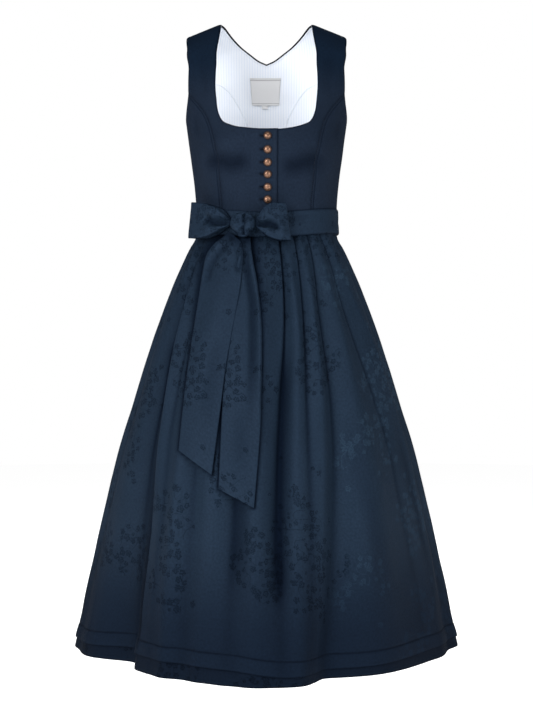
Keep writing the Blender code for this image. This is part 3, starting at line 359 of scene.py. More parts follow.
# Loops with their leans in degrees and the side that shows, and hanging ends with their swells
LOOPS = (("Bow_loop_right", RIGHT_LOOP, RIGHT_LOOP_CREASES, 1.2, 1),
    ("Bow_loop_left", LEFT_LOOP, LEFT_LOOP_CREASES, -2.8, -1))
TAILS = (("Bow_tail_right", RIGHT_TAIL, RIGHT_TAIL_CREASES, 2.0),
    ("Bow_tail_left", LEFT_TAIL, LEFT_TAIL_CREASES, 0.5))
# Lines as millimetres along from the front centre and height from the seam
BELT_CREASES = table(crease,
    (-0.9, 5, 6, 20, 42, 6, 70, 9, 112, 13),
    (0.8, 5, 5, 20, 40, -7, 80, -5, 124, 2),
    (-0.8, 5, 5, 20, 150, -10, 200, -3, 250, 2),
    (0.8, 5, 5, 20, -160, 8, -200, 1, -250, -4),
    (-0.9, 5, 5, 20, 300, 10, 350, 4, 400, -6),
    (0.8, 6, 5, 20, 420, 8, 470, -2, 520, 4),
    (-0.8, 5, 6, 20, 560, -9, 610, -2, 650, 6))
# Lines as millimetres across and up on the knot's face
KNOT_CREASES = table(crease,
    (-5.5, 2.2, 2.8, 5, 4.5, 22, 3.5, 8, 3.0, -6, 4.0, -21),
    (-3.6, 3.0, 3.4, 5, 6, 15, 12, 13, 21, 10),
    (3.2, 4.5, 4.5, 6, 7, 6, 13, 2, 19, -4),
    (-4.2, 2.6, 3.0, 5, 5, -9, 12, -13, 21, -11),
    (-3.4, 2.6, 3.0, 6, -24, -5, -12, -13, 1, -20),
    (2.2, 5.0, 5.0, 8, -14, 17, -12, 4, -7, -7),
    (-1.8, 3.0, 3.0, 6, -5, 19, -2.5, 6, -4, -5))

# Bodice's cloth: lattice on a panel, rings of points beside its edge, rolled edges, grooves of
# the stitching, and the waves of the ripple as share, turns across and up, and start
LATTICE = 6.0
EDGE_GRAIN = 4.5
EDGE_RINGS = (1.2, 2.8, 4.5, 5.5, 6.5, 8.2)
RING_CLEARANCE = 0.9
SEAM_ROLL = 4.0
SEAM_DROP = 1.5
SEAM_OVERLAP = 1.1
STITCH_INSET = 5.5
STITCH_GROOVE = 0.5
STITCH_GROOVE_WIDTH = 1.3
RIPPLE_HEIGHT = 0.22
RIPPLE_WAVES = ((1.0, 0.083, 0.031, 0.7), (1.0, -0.047, 0.069, 2.1), (0.7, 0.121, -0.052, 4.0),
    (0.6, 0.026, 0.118, 5.3))
RIPPLE_START = (20.0, 120.0)
APRON_HEM_DEPTH = 24.0
SKIRT_HEM_DEPTH = 30.0

# Skirt's grids: parts between two fold lines, rows down, how far columns draw together beside
# a line, and the number of the front's middle fold line
FRONT_PARTS = 8
BACK_PARTS = 12
APRON_PARTS = 14
SKIRT_ROWS = 101
APRON_ROWS = 121
GRID_PULL = 0.125
MIDDLE_FOLD = 10
# Thickness of the skirt's and apron's shown cloth, and the apron's stand-off from the skirt
CLOTH_WALL = 0.8
APRON_OUT = LAYER_GAP + APRON_WALL
# Hems: groove along the stitching, how far the edge stands out, and extra rows there
HEM_GROOVE = 0.7
HEM_GROOVE_WIDTH = 1.5
HEM_GROOVE_ROWS = 5
HEM_EDGE_ROWS = 3
HEM_FLARE = 4.0
# Depths in millimetres at which folds lie in full shade, and the shade of edges and grooves
HOLLOW_ATTRIBUTE = "hollow"
HOLLOW_DEPTH = 7.0
BODICE_HOLLOW_DEPTH = 4.5
TIE_HOLLOW_DEPTH = 7.5
EDGE_HOLLOW = 0.9
EDGE_HOLLOW_POWER = 1.7
GROOVE_HOLLOW = 0.85
HEM_HOLLOW = 0.85
# Painted shadow of the apron's hem on the skirt below it
UNDER_HOLLOW = 0.45
# Painted shade in each buttonhole's slit, and the width it spreads over
BUTTONHOLE_HOLLOW = 0.95
BUTTONHOLE_GRAIN = 2.7
# Shade beside the sharp pleats, and its width, at the heights of FOLD_HEIGHTS
PLEAT_SHADES = (0.3, 0.5, 0.8, 1.0, 1.0)
PLEAT_SHADE_WIDTHS = (14.0, 8.0, 4.5, 2.6, 2.0)
# Shade of the tie beside the knot and on the knot's sides, and how far it reaches
KNOT_HOLLOW = 0.8
KNOT_SIDE_HOLLOW = 0.35
KNOT_SHADE_REACH = 9.0
TAIL_SHADE_REACH = 30.0
# Shade that the tails throw on the apron beside them, and its reach in millimetres by height
TAIL_SHADE = 0.95
TAIL_SHADE_HEIGHTS = (-850.0, -560.0, -460.0, -380.0)
TAIL_SHADE_REACHES = (3.5, 5.0, 11.0, 20.0)
# Angle over which the folds are softened low down, and the depths between which that sets in
HEM_SOFTNESS = 1.8
HEM_SOFT_SPAN = (560.0, 900.0)

# Belt: grid, thickness and rolled edges
BELT_ROWS = 17
BELT_STEP = 4.0
BELT_CLOTH_WALL = 2.0
BELT_ROLL = 3.5
BELT_ROLL_DROP = 1.3
# Belt length for each millimetre of arc, all round it and what counts as the right-hand side
BELT_REACH_SHARE = 1.12
BELT_ROUND = 2 * math.pi * ARC_RADIUS * BELT_REACH_SHARE
BELT_WRAP = 260.0
# Knot: grid, fullness, how it narrows below and above, and where its creased face begins
KNOT_GRID = (34, 72)
KNOT_FULLNESS = 0.62
KNOT_TAPER = 0.6
KNOT_TOP_TAPER = 0.2
KNOT_FACE = (-0.2, 0.55)
# Loops: grid, how they narrow beside the knot, and where their creased faces begin
LOOP_GRID = (110, 45)
LOOP_PINCH = 0.28
LOOP_PINCH_REACH = 1.3
LOOP_FACE = (0.3, 1.8)
# Loops and hanging ends: rolled edges, thickness, and the hanging ends' grid and ripple
TIE_ROLL = 2.5
TIE_ROLL_DROP = 0.7
TIE_CLOTH_WALL = 1.2
TAIL_GRID = (31, 150)
TAIL_RIPPLE = (-0.2, 0.4)
TAIL_RIPPLE_SHIFT = 40.0

# Label: depth of its face behind the bodice's form, grid, folded ends and slight waves
LABEL_DEPTH = BODICE_WALL + LINING_GAP + LINING_WALL + LABEL_GAP + LABEL_WALL
LABEL_LINES = 23
LABEL_FOLD = 0.5
LABEL_FOLD_WIDTH = 2.2
LABEL_WAVE = 0.25

# Button's relief as reach and rise of each ring, from its back edge up over the dome
BUTTON_RELIEF = ((4.6, 0.3), (6.2, 0.35), (7.0, 0.75), (7.25, 1.3), (7.15, 1.8), (6.85, 2.3),
    (6.4, 2.75), (5.95, 3.1), (5.5, 3.4), (5.0, 3.7), (4.5, 3.95), (4.0, 4.18), (3.5, 4.38),
    (3.0, 4.55), (2.5, 4.7), (2.0, 4.82), (1.5, 4.91), (1.0, 4.98), (0.55, 5.03), (0.2, 5.05))
BUTTON_BACK_RINGS = 5
BUTTON_SIDES = 64
# Rings of small domes on a button, and the angle by which each button is turned
Domes = namedtuple("Domes", "count reach width height")
BEADS = Domes(20, 6.3, 0.5, 0.3)
PETALS = Domes(6, 3.3, 1.3, 0.22)
BUTTON_LEANS = (0.1, 0.7, 0.35, 1.1, 0.5, 0.9)

# A cut's flat width and length in metres, its share of that rectangle and how it hangs
Cut = namedtuple("Cut", "width length share held rests_on")


BODY = "root"
CUT_LAYER = "cut"

# Colours as linear red, green and blue, and how much duller cloth is in hollows and in shade
STRAP_SHADE = (0.36, 0.54, 0.64)
HEM_SHADE = (0.40, 0.43, 0.50)
HOLLOW_SHADE = (0.16, 0.20, 0.28)
HOLLOW_DULLNESS = 0.4
SHADE_DULLNESS = 0.6
BUTTONHOLE_COLOUR = (0.0006, 0.0014, 0.003)
WHITE = (1.0, 1.0, 1.0)
GLOSS_TINT = (0.42, 0.62, 1.0)

# Heights in metres between which the straps and the hem grow darker with painted shade
STRAP_SHADE_SPAN = (-0.15, -0.06)
HEM_SHADE_SPAN = (-0.86, -1.07)
# Places across, in metres, between which the sprays turn from painted shade to painted light, and
# their wander
MOTIF_PAINTED_LIGHT_SPAN = (0.09, 0.13)
MOTIF_PAINTED_LIGHT_WANDER = 0.16
MOTIF_PAINTED_LIGHT_SCALE = 10.0

# Jacquard, in metres: blossoms and the sprays that hold them; reaches in shares of a cell
BLOSSOM_SIZE = 0.0125
BLOSSOM_WOBBLE = 0.005
BLOSSOM_WOBBLE_SCALE = 55.0
BLOSSOM_UNEVENNESS = 0.8
BLOSSOM_REACH = (0.27, 0.50)
PETAL_COUNT = 5
PETAL_LOBE = 0.46
PETAL_EDGE = (0.04, 0.0)
PETAL_FILL = 0.15
OUTLINE_EDGE = (0.12, 0.054)
RING_REACH = 0.52
RING_EDGE = (0.06, 0.025)
RING_CHANCE = (0.35, 0.45)
HEART_EDGE = (0.11, 0.07)
LEAF_SHARE = 0.2
LEAF_NARROWNESS = (5.2, 2.9)
LEAF_EDGE = (0.62, 0.5)
LEAF_VEIN = (0.015, 0.045)
FILLED_SHARE = 0.72
SINGLE_SHARE = 0.015
SPRAY_SPACING = 0.13
SPRAY_BEND = 0.12
SPRAY_BEND_SCALE = 14.0
SPRAY_UNEVENNESS = 0.75
SPRAY_SQUEEZE = 0.72
SPRAY_REACH = (0.24, 0.46)
YARN_SCALE = 420.0
YARN_EDGE = (0.36, 0.5)
TENDRIL_STRENGTH = 0.8
TENDRIL_SCALE = 32.0
TENDRIL_EDGE = (0.012, 0.0048)
SKIRT_SHIFT = (0.21, 0.33, 0.0)
TIE_SHIFT = (0.45, 0.11, 0.0)
APRON_SHIFT = (0.07, 0.52, 0.0)
# Weaves and stripes, in metres
SLUB_SCALE = 900.0
SLUB_STRETCH = (1.0, 0.18, 1.0)
SLUB_BUMP = 0.6
MIDDLE_SPAN = (0.3, 0.7)
GRAIN_SCALE = 260.0
GRAIN_SPREAD = 0.3
TWILL_PITCH = 0.0012
SATIN_PITCH = 0.0009
SATIN_SLANT = 0.12
LINEN_PITCH = 0.0008
STRIPE_PITCH = 0.005
STRIPE_EDGE = (0.17, 0.0935)
STRIPE_FLECK = 0.75
STRIPE_WANDER = 0.0008
STRIPE_WANDER_SCALE = 12.0
RIB_PITCH = 0.0021
LABEL_BAND_AT = 0.0215
LABEL_BAND_EDGE = (0.0012, 0.0006)
LABEL_GRAIN_SCALE = 1500.0
THREAD_TWIST_SCALE = 2500.0
FLOOR_CLOUD_SCALE = 3.0
# Copper: its stains and pits, and the reaches from a button's middle between which it darkens with
# patina and painted shade
STAIN_SCALE = 380.0
STAIN_SPAN = (0.52, 0.75)
STAIN_DARKNESS = 0.7
PIT_SCALE = 900.0
BUTTON_RIM_PATINA_AND_SHADE_SPAN = (0.0028, 0.0067)
# How metallic and how rough copper is where it is bright and where it is dark
COPPER_METAL = (0.95, 0.45)
COPPER_ROUGHNESS = (0.3, 0.55)
# Flecks of a dyed cloth as shares of its colour, and the spread and scale of its dye's clouds
Dyed = namedtuple("Dyed", "dark light fleck_share spread cloud_scale")
TWILL = Dyed(0.8, 1.25, 0.45, 0.07, 28.0)
SATIN = Dyed(0.85, 1.18, 0.4, 0.06, 22.0)
TWILL_ROUGHNESS = (0.66, 0.56)
MOTIF_ROUGHNESS = 0.75
MOTIF_SINK = 1.2
# Bumps: depth in metres and strength
TWILL_BUMP = (0.00012, 0.7)
SATIN_BUMP = (0.0001, 0.6)
LINEN_BUMP = (0.0001, 0.5)
LABEL_BUMP = (0.00008, 0.6)
COPPER_BUMP = (0.0001, 0.5)

# Stitches: height off the cloth in millimetres, and how far each one strays from its row
OUT_ATTRIBUTE = "out"
STITCH_SEAT = -0.2
STITCH_STRAY = 0.12
SEAM_POINT_SPACING = 3.0
# Buttonholes: middle beside the button, half length and width, height, and points round each
BUTTONHOLE_MIDDLE = -9.5
BUTTONHOLE_HALF = (5.0, 1.1)
BUTTONHOLE_RISE = 0.25
BUTTONHOLE_POINTS = 33
# Apron's sides: rows down them, those that are sewn, and reach there as a share of ARC_RADIUS
APRON_SIDE_ROWS = 90
APRON_SIDE_SEWN = slice(4, -1)
APRON_SIDE_REACH = 2.4
# Label: place of its stitches as a share of half its size, and points along each side
LABEL_STITCH_SHARE = 0.95
LABEL_SIDE_POINTS = 20

# Studio, in metres
CAMERA_HEIGHT = -0.594
CAMERA_SENSOR = 36.0
LIGHT_AIM = (0.0, 0.0, -0.55)
# Each light's place and size, and whether shiny cloth mirrors it
LIGHTS = {"Key": ((-1.75, -2.6, 0.3), 1.7, True), "Fill": ((1.85, -2.55, -0.1), 1.7, True),
    "Top": ((0.2, -1.4, 1.6), 1.4, True), "Back": ((0.9, 2.8, 1.6), 2.4, False)}
GLOSS_SHARE = 0.25
RIM_FACING = (0.35, 0.9)
RIM_ROUGHNESS = 0.5
FLOOR_HEIGHT = -1.42
FLOOR_REACH = 8.0
FLOOR_SIDES = 96


class Profile:
    """Smooth curve, or several at once, through values at rising places; straight past the ends."""

    def __init__(self, places, values):
        self.single = np.ndim(values) == 1
        self.places = np.array(places, float)
        self.values = np.atleast_2d(np.array(values, float))
        self.widths = np.diff(self.places)
        steps = np.diff(self.values, axis=1) / self.widths
        level = steps[:, :-1] * steps[:, 1:] <= 0
        inner = np.where(level, 0.0, (steps[:, :-1] + steps[:, 1:]) / 2)
        self.slopes = np.hstack([steps[:, :1], inner, steps[:, -1:]])

    def __call__(self, place):
        place = np.asarray(place, float)
        flat = place.ravel()
        inside = np.clip(flat, self.places[0], self.places[-1])
        i = np.clip(np.searchsorted(self.places, inside, "right") - 1, 0, len(self.widths) - 1)
        width = self.widths[i]
        t = (inside - self.places[i]) / width
        rows = self.values[:, i] * (1 + 2 * t) * (1 - t) ** 2
        rows = rows + self.slopes[:, i] * width * t * (1 - t) ** 2
        rows = rows + self.values[:, i + 1] * t * t * (3 - 2 * t)
        rows = rows - self.slopes[:, i + 1] * width * t * t * (1 - t)
        end_slope = np.where(flat < inside, self.slopes[:, :1], self.slopes[:, -1:])
        rows = (rows + (flat - inside) * end_slope).reshape((len(self.values),) + place.shape)
        return rows[0] if self.single else rows


def columns(rows, place_field, *fields):
    """One profile for each named column of a table."""
    places = [getattr(row, place_field) for row in rows]
    return [Profile(places, [getattr(row, field) for row in rows]) for field in fields]


def columns_of(rows):
    """One profile for each column of a table of numbered rows."""
    return [Profile(range(len(rows)), column) for column in zip(*rows)]


def ease(value, start, end):
    """Smooth step from 0 at start to 1 at end."""
    t = np.clip((value - start) / (end - start), 0.0, 1.0)
    return t * t * (3 - 2 * t)


BODICE_WIDTH, BODICE_FRONT, BODICE_BACK = columns(BODICE_RINGS, "height", "half_width",
    "front_depth", "back_depth")
SKIRT_WIDTH, SKIRT_FRONT, SKIRT_BACK = columns(SKIRT_RINGS, "height", "half_width", "front_depth",
    "back_depth")
(APRON_RISE,) = columns(APRON_RISES, "angle", "rise")
PLEAT_DEPTH, PLEAT_STEEP, PLEAT_SLOPE, PLEAT_SHADE, PLEAT_SHADE_WIDTH = (
    Profile(FOLD_HEIGHTS, values) for values in
    (PLEAT_DEPTHS, PLEAT_STEEP_WIDTHS, PLEAT_SLOPE_WIDTHS, PLEAT_SHADES, PLEAT_SHADE_WIDTHS))


def stacked(*parts):
    """Parts side by side, as the coordinates of points."""
    return np.stack(np.broadcast_arrays(*parts), axis=-1)


def bell(share):
    """Bump that is 1 at 0 and dies away past 2."""
    return np.exp(-share ** 2)


def unit(vectors):
    """Vectors made one long."""
    return vectors / np.linalg.norm(vectors, axis=-1, keepdims=True)


def facing(degrees):
    """Angle from the front centre, between half a turn either way."""
    return (degrees + 180) % 360 - 180


def round_axis(turn, reach, height):
    """Point at a turn round the dress's axis, a reach from it and a height."""
    return stacked(reach * np.sin(turn), -reach * np.cos(turn), height)


def lengths_along(points, axis=0):
    """Length from the first point to each one along a line or a grid of them."""
    steps = np.linalg.norm(np.diff(points, axis=axis), axis=-1)
    return np.concatenate([0 * steps.take([0], axis), np.cumsum(steps, axis=axis)], axis=axis)


def ripple(x, y):
    """Slight unevenness that all cloth has."""
    waves = [high * np.sin(slant * x + up * y + start) for high, slant, up, start in RIPPLE_WAVES]
    return RIPPLE_HEIGHT * sum(waves) / 2


def beside_line(x, y, line):
    """Distance of places from a line, their place along it, their side of it, and its length."""
    gap, along, side, length = np.inf, 0.0, 0.0, 0.0
    for (x0, y0), (x1, y1) in zip(line, line[1:]):
        run_x, run_y = x1 - x0, y1 - y0
        run = max(math.hypot(run_x, run_y), 1e-6)
        t = np.clip(((x - x0) * run_x + (y - y0) * run_y) / run ** 2, 0.0, 1.0)
        near = np.hypot(x - x0 - run_x * t, y - y0 - run_y * t)
        closer = near < gap
        gap = np.where(closer, near, gap)
        along = np.where(closer, length + t * run, along)
        side = np.where(closer, run_x * (y - y0) - run_y * (x - x0), side)
        length += run
    return gap, along, side, length


def crease_lift(x, y, creases):
    """Height that a table of creases adds at flat places."""
    lift = 0.0 * (x + y)
    for crease in creases:
        gap, along, side, length = beside_line(x, y, crease.line)
        width = np.where(side > 0, crease.left, crease.right)
        fade = ease(along, 0, crease.fade) * ease(length - along, 0, crease.fade)
        lift = lift + crease.lift * fade * bell(gap / width)
    return lift


def waist_height(turn):
    """Height of the waist seam, which dips at the front centre."""
    return WAIST - WAIST_DIP * np.maximum(0.0, np.cos(turn)) ** 2


def crest_start(x):
    """Height at which a shoulder begins to round over."""
    return CREST_HEIGHT - (np.abs(x) - NECK_SIDE) * CREST_SLOPE - SHOULDER_ROUND


def bodice(arc, rise):
    """Point on the bodice at an arc round from the front centre and an unrolled height."""
    turn = arc / ARC_RADIUS
    sine, cosine = np.sin(turn), np.cos(turn)
    corner = 1 + BODICE_CORNER * np.sin(2 * turn) ** 2
    x = BODICE_WIDTH(rise) * sine * corner
    cup_x = (np.abs(x) - CUP_X) / CUP_WIDTH
    cup_z = (rise - CUP_HEIGHT) / CUP_RISE
    cup = CUP_FULLNESS * np.exp(-cup_x * cup_x - cup_z * cup_z)
    front = -BODICE_FRONT(rise) * cosine * corner - cup
    back = -BODICE_BACK(rise) * cosine * corner
    start = crest_start(x)
    roll = np.maximum(0.0, rise - start) / SHOULDER_ROUND
    height = np.where(roll > 0, start + SHOULDER_ROUND * np.sin(roll), rise)
    return stacked(x, np.where(cosine > 0, front, back) * np.cos(roll), height)


def bodice_waist(arc):
    """Unrolled height of the waist seam at an arc of the bodice."""
    place = bodice(arc, WAIST)
    return waist_height(np.arctan2(place[..., 0], -place[..., 1]))


def on_bodice(point, back=False, left=True):
    """Arc and unrolled height of an edge point of the bodice."""
    x = abs(point.x)
    if point.height == CREST:
        rise = crest_start(x) + SHOULDER_ROUND * math.pi / 2
    else:
        height = WAIST if point.height is None else point.height
        lift = (height - crest_start(x)) / SHOULDER_ROUND
        rise = height if lift <= 0 else crest_start(x) + SHOULDER_ROUND * math.asin(lift)
    width = float(BODICE_WIDTH(rise))
    low, high = 0.0, math.pi / 2
    for _ in range(SEARCH_STEPS):
        turn = (low + high) / 2
        if width * math.sin(turn) * (1 + BODICE_CORNER * math.sin(2 * turn) ** 2) < x:
            low = turn
        else:
            high = turn
    if point.height is None:
        rise = WAIST if back else float(bodice_waist(turn * ARC_RADIUS))
    if back:
        turn = math.pi - turn
        arc = turn if left == (point.x >= 0) else 2 * math.pi - turn
    else:
        arc = turn if left == (point.x >= 0) else -turn
    return (arc * ARC_RADIUS, float(rise))


def even_steps(start, end, length=None):
    """Places from start to end, about one grain of the edge apart over a length."""
    count = round((abs(end - start) if length is None else length) / EDGE_GRAIN)
    return np.linspace(start, end, max(1, count) + 1)


def edge_line(points, back=False, left=True):
    """Smooth line on the bodice through a table of edge points, in even steps."""
    places = [on_bodice(point, back, left) for point in points]
    lengths = lengths_along(places)
    spots = even_steps(0, lengths[-1])
    return [tuple(place) for place in Profile(lengths, list(zip(*places)))(spots).T.tolist()]


def shoulder_line(back=False, left=True):
    """Shoulder seam along the crest, from the neck out."""
    places = even_steps(NECK_SIDE, SHOULDER_TIP).tolist()
    return [on_bodice(EdgePoint(x, CREST), back, left) for x in places]


def straight_line(start, end):
    """Straight line on the flat bodice in even steps."""
    spots = even_steps(0, 1, math.dist(start, end))[:, None]
    line = np.array(start) * (1 - spots) + np.array(end) * spots
    return [tuple(place) for place in line.tolist()]


def waist_line(start_arc, end_arc):
    """Bottom edge of the bodice between two arcs."""
    arcs = even_steps(start_arc, end_arc)
    return list(zip(arcs.tolist(), bodice_waist(arcs).tolist()))


def inset_loop(edges, more=0.0):
    """Close a chain of edges into one loop, each edge moved in by its own amount and more."""
    points = []
    insets = []
    for line, inset in edges:
        points += line[:-1]
        insets += [inset + more] * (len(line) - 1)
    here = np.array(points)
    after = np.roll(here, -1, axis=0)
    hand = np.sign((here[:, 0] * after[:, 1] - after[:, 0] * here[:, 1]).sum())
    second = unit(after - here)
    first = np.roll(second, 1, axis=0)
    inset_2 = np.array(insets)[:, None]
    inset_1 = np.roll(inset_2, 1, axis=0)
    normal_1 = stacked(-first[:, 1], first[:, 0]) * hand
    normal_2 = stacked(-second[:, 1], second[:, 0]) * hand
    cross = first[:, 0] * second[:, 1] - first[:, 1] * second[:, 0]
    straight = np.abs(cross) < PARALLEL_EDGES
    gap = normal_2 * inset_2 - normal_1 * inset_1
    along = (gap[:, 0] * second[:, 1] - gap[:, 1] * second[:, 0]) / np.where(straight, 1.0, cross)
    bent = normal_1 * inset_1 + first * along[:, None]
    even = (normal_1 * inset_1 + normal_2 * inset_2) / 2
    return here + np.where(straight[:, None], even, bent)


def distance_to(points, line, closed=False):
    """Distance of flat points from a line."""
    return beside_line(*points.T, [*line, line[0]] if closed else line)[0]


def is_inside(points, loop):
    """Which flat points lie in a loop."""
    inside = np.zeros(len(points), bool)
    x, y = points[:, 0], points[:, 1]
    for a, b in zip(loop, np.roll(loop, -1, axis=0)):
        if a[1] != b[1]:
            crosses = (a[1] > y) != (b[1] > y)
            inside ^= crosses & (x < a[0] + (b[0] - a[0]) * (y - a[1]) / (b[1] - a[1]))
    return inside


def cut_panel(edges, finer=()):
    """Flat places and triangles of a panel: its edge, rings beside it, a lattice and more."""
    loop = inset_loop(edges)
    kept = [loop, *finer]
    for depth in EDGE_RINGS:
        ring = inset_loop(edges, depth)
        apart = distance_to(ring, loop, closed=True)
        ring = ring[is_inside(ring, loop) & (apart > RING_CLEARANCE * depth)]
        kept.append(ring)
    row_step = LATTICE * math.sqrt(3) / 2
    low, high = loop.min(axis=0), loop.max(axis=0)
    rows = np.arange(math.floor(low[1] / row_step), math.ceil(high[1] / row_step) + 1)
    places = np.arange(math.floor(low[0] / LATTICE) - 1, math.ceil(high[0] / LATTICE) + 1)
    grid = np.array([((i + j % 2 / 2) * LATTICE, j * row_step) for j in rows for i in places])
    grid = grid[is_inside(grid, loop)]
    kept.append(grid[distance_to(grid, loop, closed=True) > EDGE_RINGS[-1] + LATTICE / 2])
    flat = [Vector(place) for place in np.concatenate(kept).tolist()]
    result = delaunay_2d_cdt(flat, [], [list(range(len(loop)))], 1, 1e-6)
    places = np.array([tuple(place) for place in result[0]])
    faces = np.array([tuple(face) for face in result[2]])
    a, b, c = (places[faces[:, k]] for k in range(3))
    area = (b[:, 0] - a[:, 0]) * (c[:, 1] - a[:, 1]) - (b[:, 1] - a[:, 1]) * (c[:, 0] - a[:, 0])
    faces[area < 0] = faces[area < 0][:, ::-1]
    return places, faces.tolist(), loop


def moved_out(surface, u, v, offset, step=NORMAL_STEP):
    """Points of a surface moved along its outward normal."""
    across = surface(u + step, v) - surface(u - step, v)
    up = surface(u, v + step) - surface(u, v - step)
    return surface(u, v) + unit(np.cross(across, up)) * np.asarray(offset)[..., None]


def length_round(surface, u, v, start, steps=24):
    """Length along the surface at one height, from a start place round to each place."""
    total = np.zeros(np.shape(u))
    before = surface(np.full(np.shape(u), float(start)), v)
    for k in range(1, steps + 1):
        here = surface(start + (u - start) * k / steps, v)
        total = total + np.linalg.norm(here - before, axis=-1)
        before = here
    return np.where(u < start, -total, total)


def lap(arc, rise):
    """How far the right front stands out where it laps over the left one."""
    return (BODICE_WALL + LAP_GAP) * ease(bodice(arc, rise)[..., 0], *LAP_RAMP)


def back_folds():
    """Fold lines of the skirt's back, alternating trough and crest."""
    folds = []
    lines = 2 * BACK_PLEATS
    for number in range(1, lines):
        angle = 90 + 180 * number / lines
        depth = 1 + BACK_UNEVEN * math.sin(BACK_DEPTH_WAVE[0] * number + BACK_DEPTH_WAVE[1])
        aside = math.sin(BACK_SWAY_WAVE * number)
        form, lifts = ("trough", BACK_TROUGH) if number % 2 else ("crest", BACK_CREST)
        pairs = zip(BACK_SWAY, lifts)
        folds.append(Fold(form, *(At(angle + sway * aside, lift * depth) for sway, lift in pairs)))
    return folds


def fold_lines(folds):
    """Profiles of angle and lift down each fold line, with the first repeated a turn on."""
    angles = [[mark.angle for mark in fold[1:]] for fold in folds]
    lifts = [[mark.lift for mark in fold[1:]] for fold in folds]
    angles.append([angle + 360 for angle in angles[0]])
    lifts.append(lifts[0])
    return Profile(FOLD_HEIGHTS, angles), Profile(FOLD_HEIGHTS, lifts)


ALL_FOLDS = list(FRONT_FOLDS) + back_folds()
SIDE_LINE = len(FRONT_FOLDS) - 1
FOLD_LINES = fold_lines(ALL_FOLDS)
CREST_LINES = fold_lines([fold for fold in ALL_FOLDS if fold.form != "trough"])
BACK_SHARPNESSES = {number: BACK_SHARPNESS for number, fold in enumerate(ALL_FOLDS)
    if number > SIDE_LINE and fold.form == "trough"}
SHARPNESS = np.array([(PLEAT_SHARPNESS | BACK_SHARPNESSES).get(number, 0.0)
    for number in range(len(ALL_FOLDS) + 1)])


def hollow_of(lift, depth=HOLLOW_DEPTH):
    """Share by which cloth that is pushed in lies in its own shade."""
    return np.clip(-lift / depth, 0, 1)


def between_folds(degrees, height, lines):
    """Lift off the plain ring, and the number and angles of the fold lines on either side."""
    degrees, height = np.broadcast_arrays(np.asarray(degrees, float), np.asarray(height, float))
    shape = degrees.shape
    degrees, height = degrees.ravel(), height.ravel()
    angles, lifts = lines[0](height), lines[1](height)
    degrees = (degrees - angles[0]) % 360 + angles[0]
    number = np.clip((angles <= degrees).sum(axis=0) - 1, 0, len(angles) - 2)
    every = np.arange(len(degrees))
    low, high = angles[number, every], angles[number + 1, every]
    t = (degrees - low) / (high - low)
    start, end = lifts[number, every], lifts[number + 1, every]
    lift = start + (end - start) * (1 - np.cos(np.pi * t)) / 2
    return [part.reshape(shape) for part in (lift, number, degrees - low, high - degrees)]


def ring_radius(turn, half_width, depth, corner):
    """Distance from the axis to an oval ring with slightly full corners."""
    slant = np.arctan2(depth * np.sin(turn), half_width * np.cos(turn))
    reach = np.hypot(half_width * np.sin(slant), depth * np.cos(slant))
    return reach * (1 + corner * np.sin(2 * slant) ** 2)


def skirt_radius(turn, height, crests_only=False):
    """Distance from the axis to the skirt's plain folds."""
    depth = np.where(np.cos(turn) > 0, SKIRT_FRONT(height), SKIRT_BACK(height))
    corner = SKIRT_CORNER * (1 - ease(WAIST - height, 0, CORNER_FADE))
    plain = ring_radius(turn, SKIRT_WIDTH(height), depth, corner)
    lines = CREST_LINES if crests_only else FOLD_LINES
    return plain + between_folds(np.degrees(turn), height, lines)[0]


def cloth_across(degrees):
    """Place across the skirt's cloth, in the millimetres in which its creases are drawn."""
    return ((degrees - CLOTH_START) % 360 + CLOTH_START) * CLOTH_DRAW


def drawn(creases):
    """Creases with their angles turned into places across the cloth."""
    lines = [[(cloth_across(angle), height) for angle, height in crease.line] for crease in creases]
    return [crease._replace(line=line) for crease, line in zip(creases, lines)]


DRAWN_CREASES, DRAWN_SHADES = drawn(SKIRT_CREASES), drawn(SKIRT_SHADES)


def beside_folds(turn, height):
    """Place across the cloth, and the number and distances of the fold lines on either side."""
    degrees = np.degrees(turn)
    _, number, past, short = between_folds(degrees, height, FOLD_LINES)
    round_mm = (SKIRT_WIDTH(height) + SKIRT_FRONT(height)) / 2 * math.radians(1)
    return cloth_across(degrees), number, past * round_mm, short * round_mm


def fine_lift(turn, height):
    """Sharp pleats and soft creases on top of the skirt's plain folds."""
    across, number, past, short = beside_folds(turn, height)
    depth, steep, slope = PLEAT_DEPTH(height), PLEAT_STEEP(height), PLEAT_SLOPE(height)
    # Pleats on the wearer's left are folded towards the middle, and the others away from it
    away = np.where(number < MIDDLE_FOLD, steep, slope)
    towards = np.where(number + 1 < MIDDLE_FOLD, slope, steep)
    lift = -SHARPNESS[number] * depth * bell(past / away)
    lift = lift - SHARPNESS[number + 1] * depth * bell(short / towards)
    lift = lift + crease_lift(across, height, DRAWN_CREASES)
    return lift + ripple(across, height) * ease(WAIST - height, *RIPPLE_START)


def fine_hollow(turn, height):
    """Shade in the skirt's folds: a narrow line beside each sharp pleat, softer to its slope."""
    across, number, past, short = beside_folds(turn, height)
    shade, line = PLEAT_SHADE(height), PLEAT_SHADE_WIDTH(height)
    hollow = hollow_of(crease_lift(across, height, DRAWN_CREASES))
    hollow = np.maximum(hollow, crease_lift(across, height, DRAWN_SHADES))
    for fold, gap in ((number, past), (number + 1, short)):
        hollow = hollow + np.sqrt(SHARPNESS[fold]) * (shade * bell(gap / line))
    return hollow


def skirt_cloth(stand_off):
    """Surface of the skirt's cloth, or of the apron's a little further out."""

    def surface(arc, height):
        """Point on the cloth."""
        turn = arc / ARC_RADIUS
        soft = np.radians(HEM_SOFTNESS) * ease(-height, *HEM_SOFT_SPAN)
        beside = (skirt_radius(turn - soft, height) + skirt_radius(turn + soft, height)) / 2
        reach = (skirt_radius(turn, height) + beside) / 2 + fine_lift(turn, height) + stand_off
        return round_axis(turn, reach, height)

    return surface


def line_angle(number, height):
    """Angle of a numbered fold line, counted on past a whole turn either way."""
    turns, place = divmod(number, len(ALL_FOLDS))
    return FOLD_LINES[0](height)[place] + 360 * turns


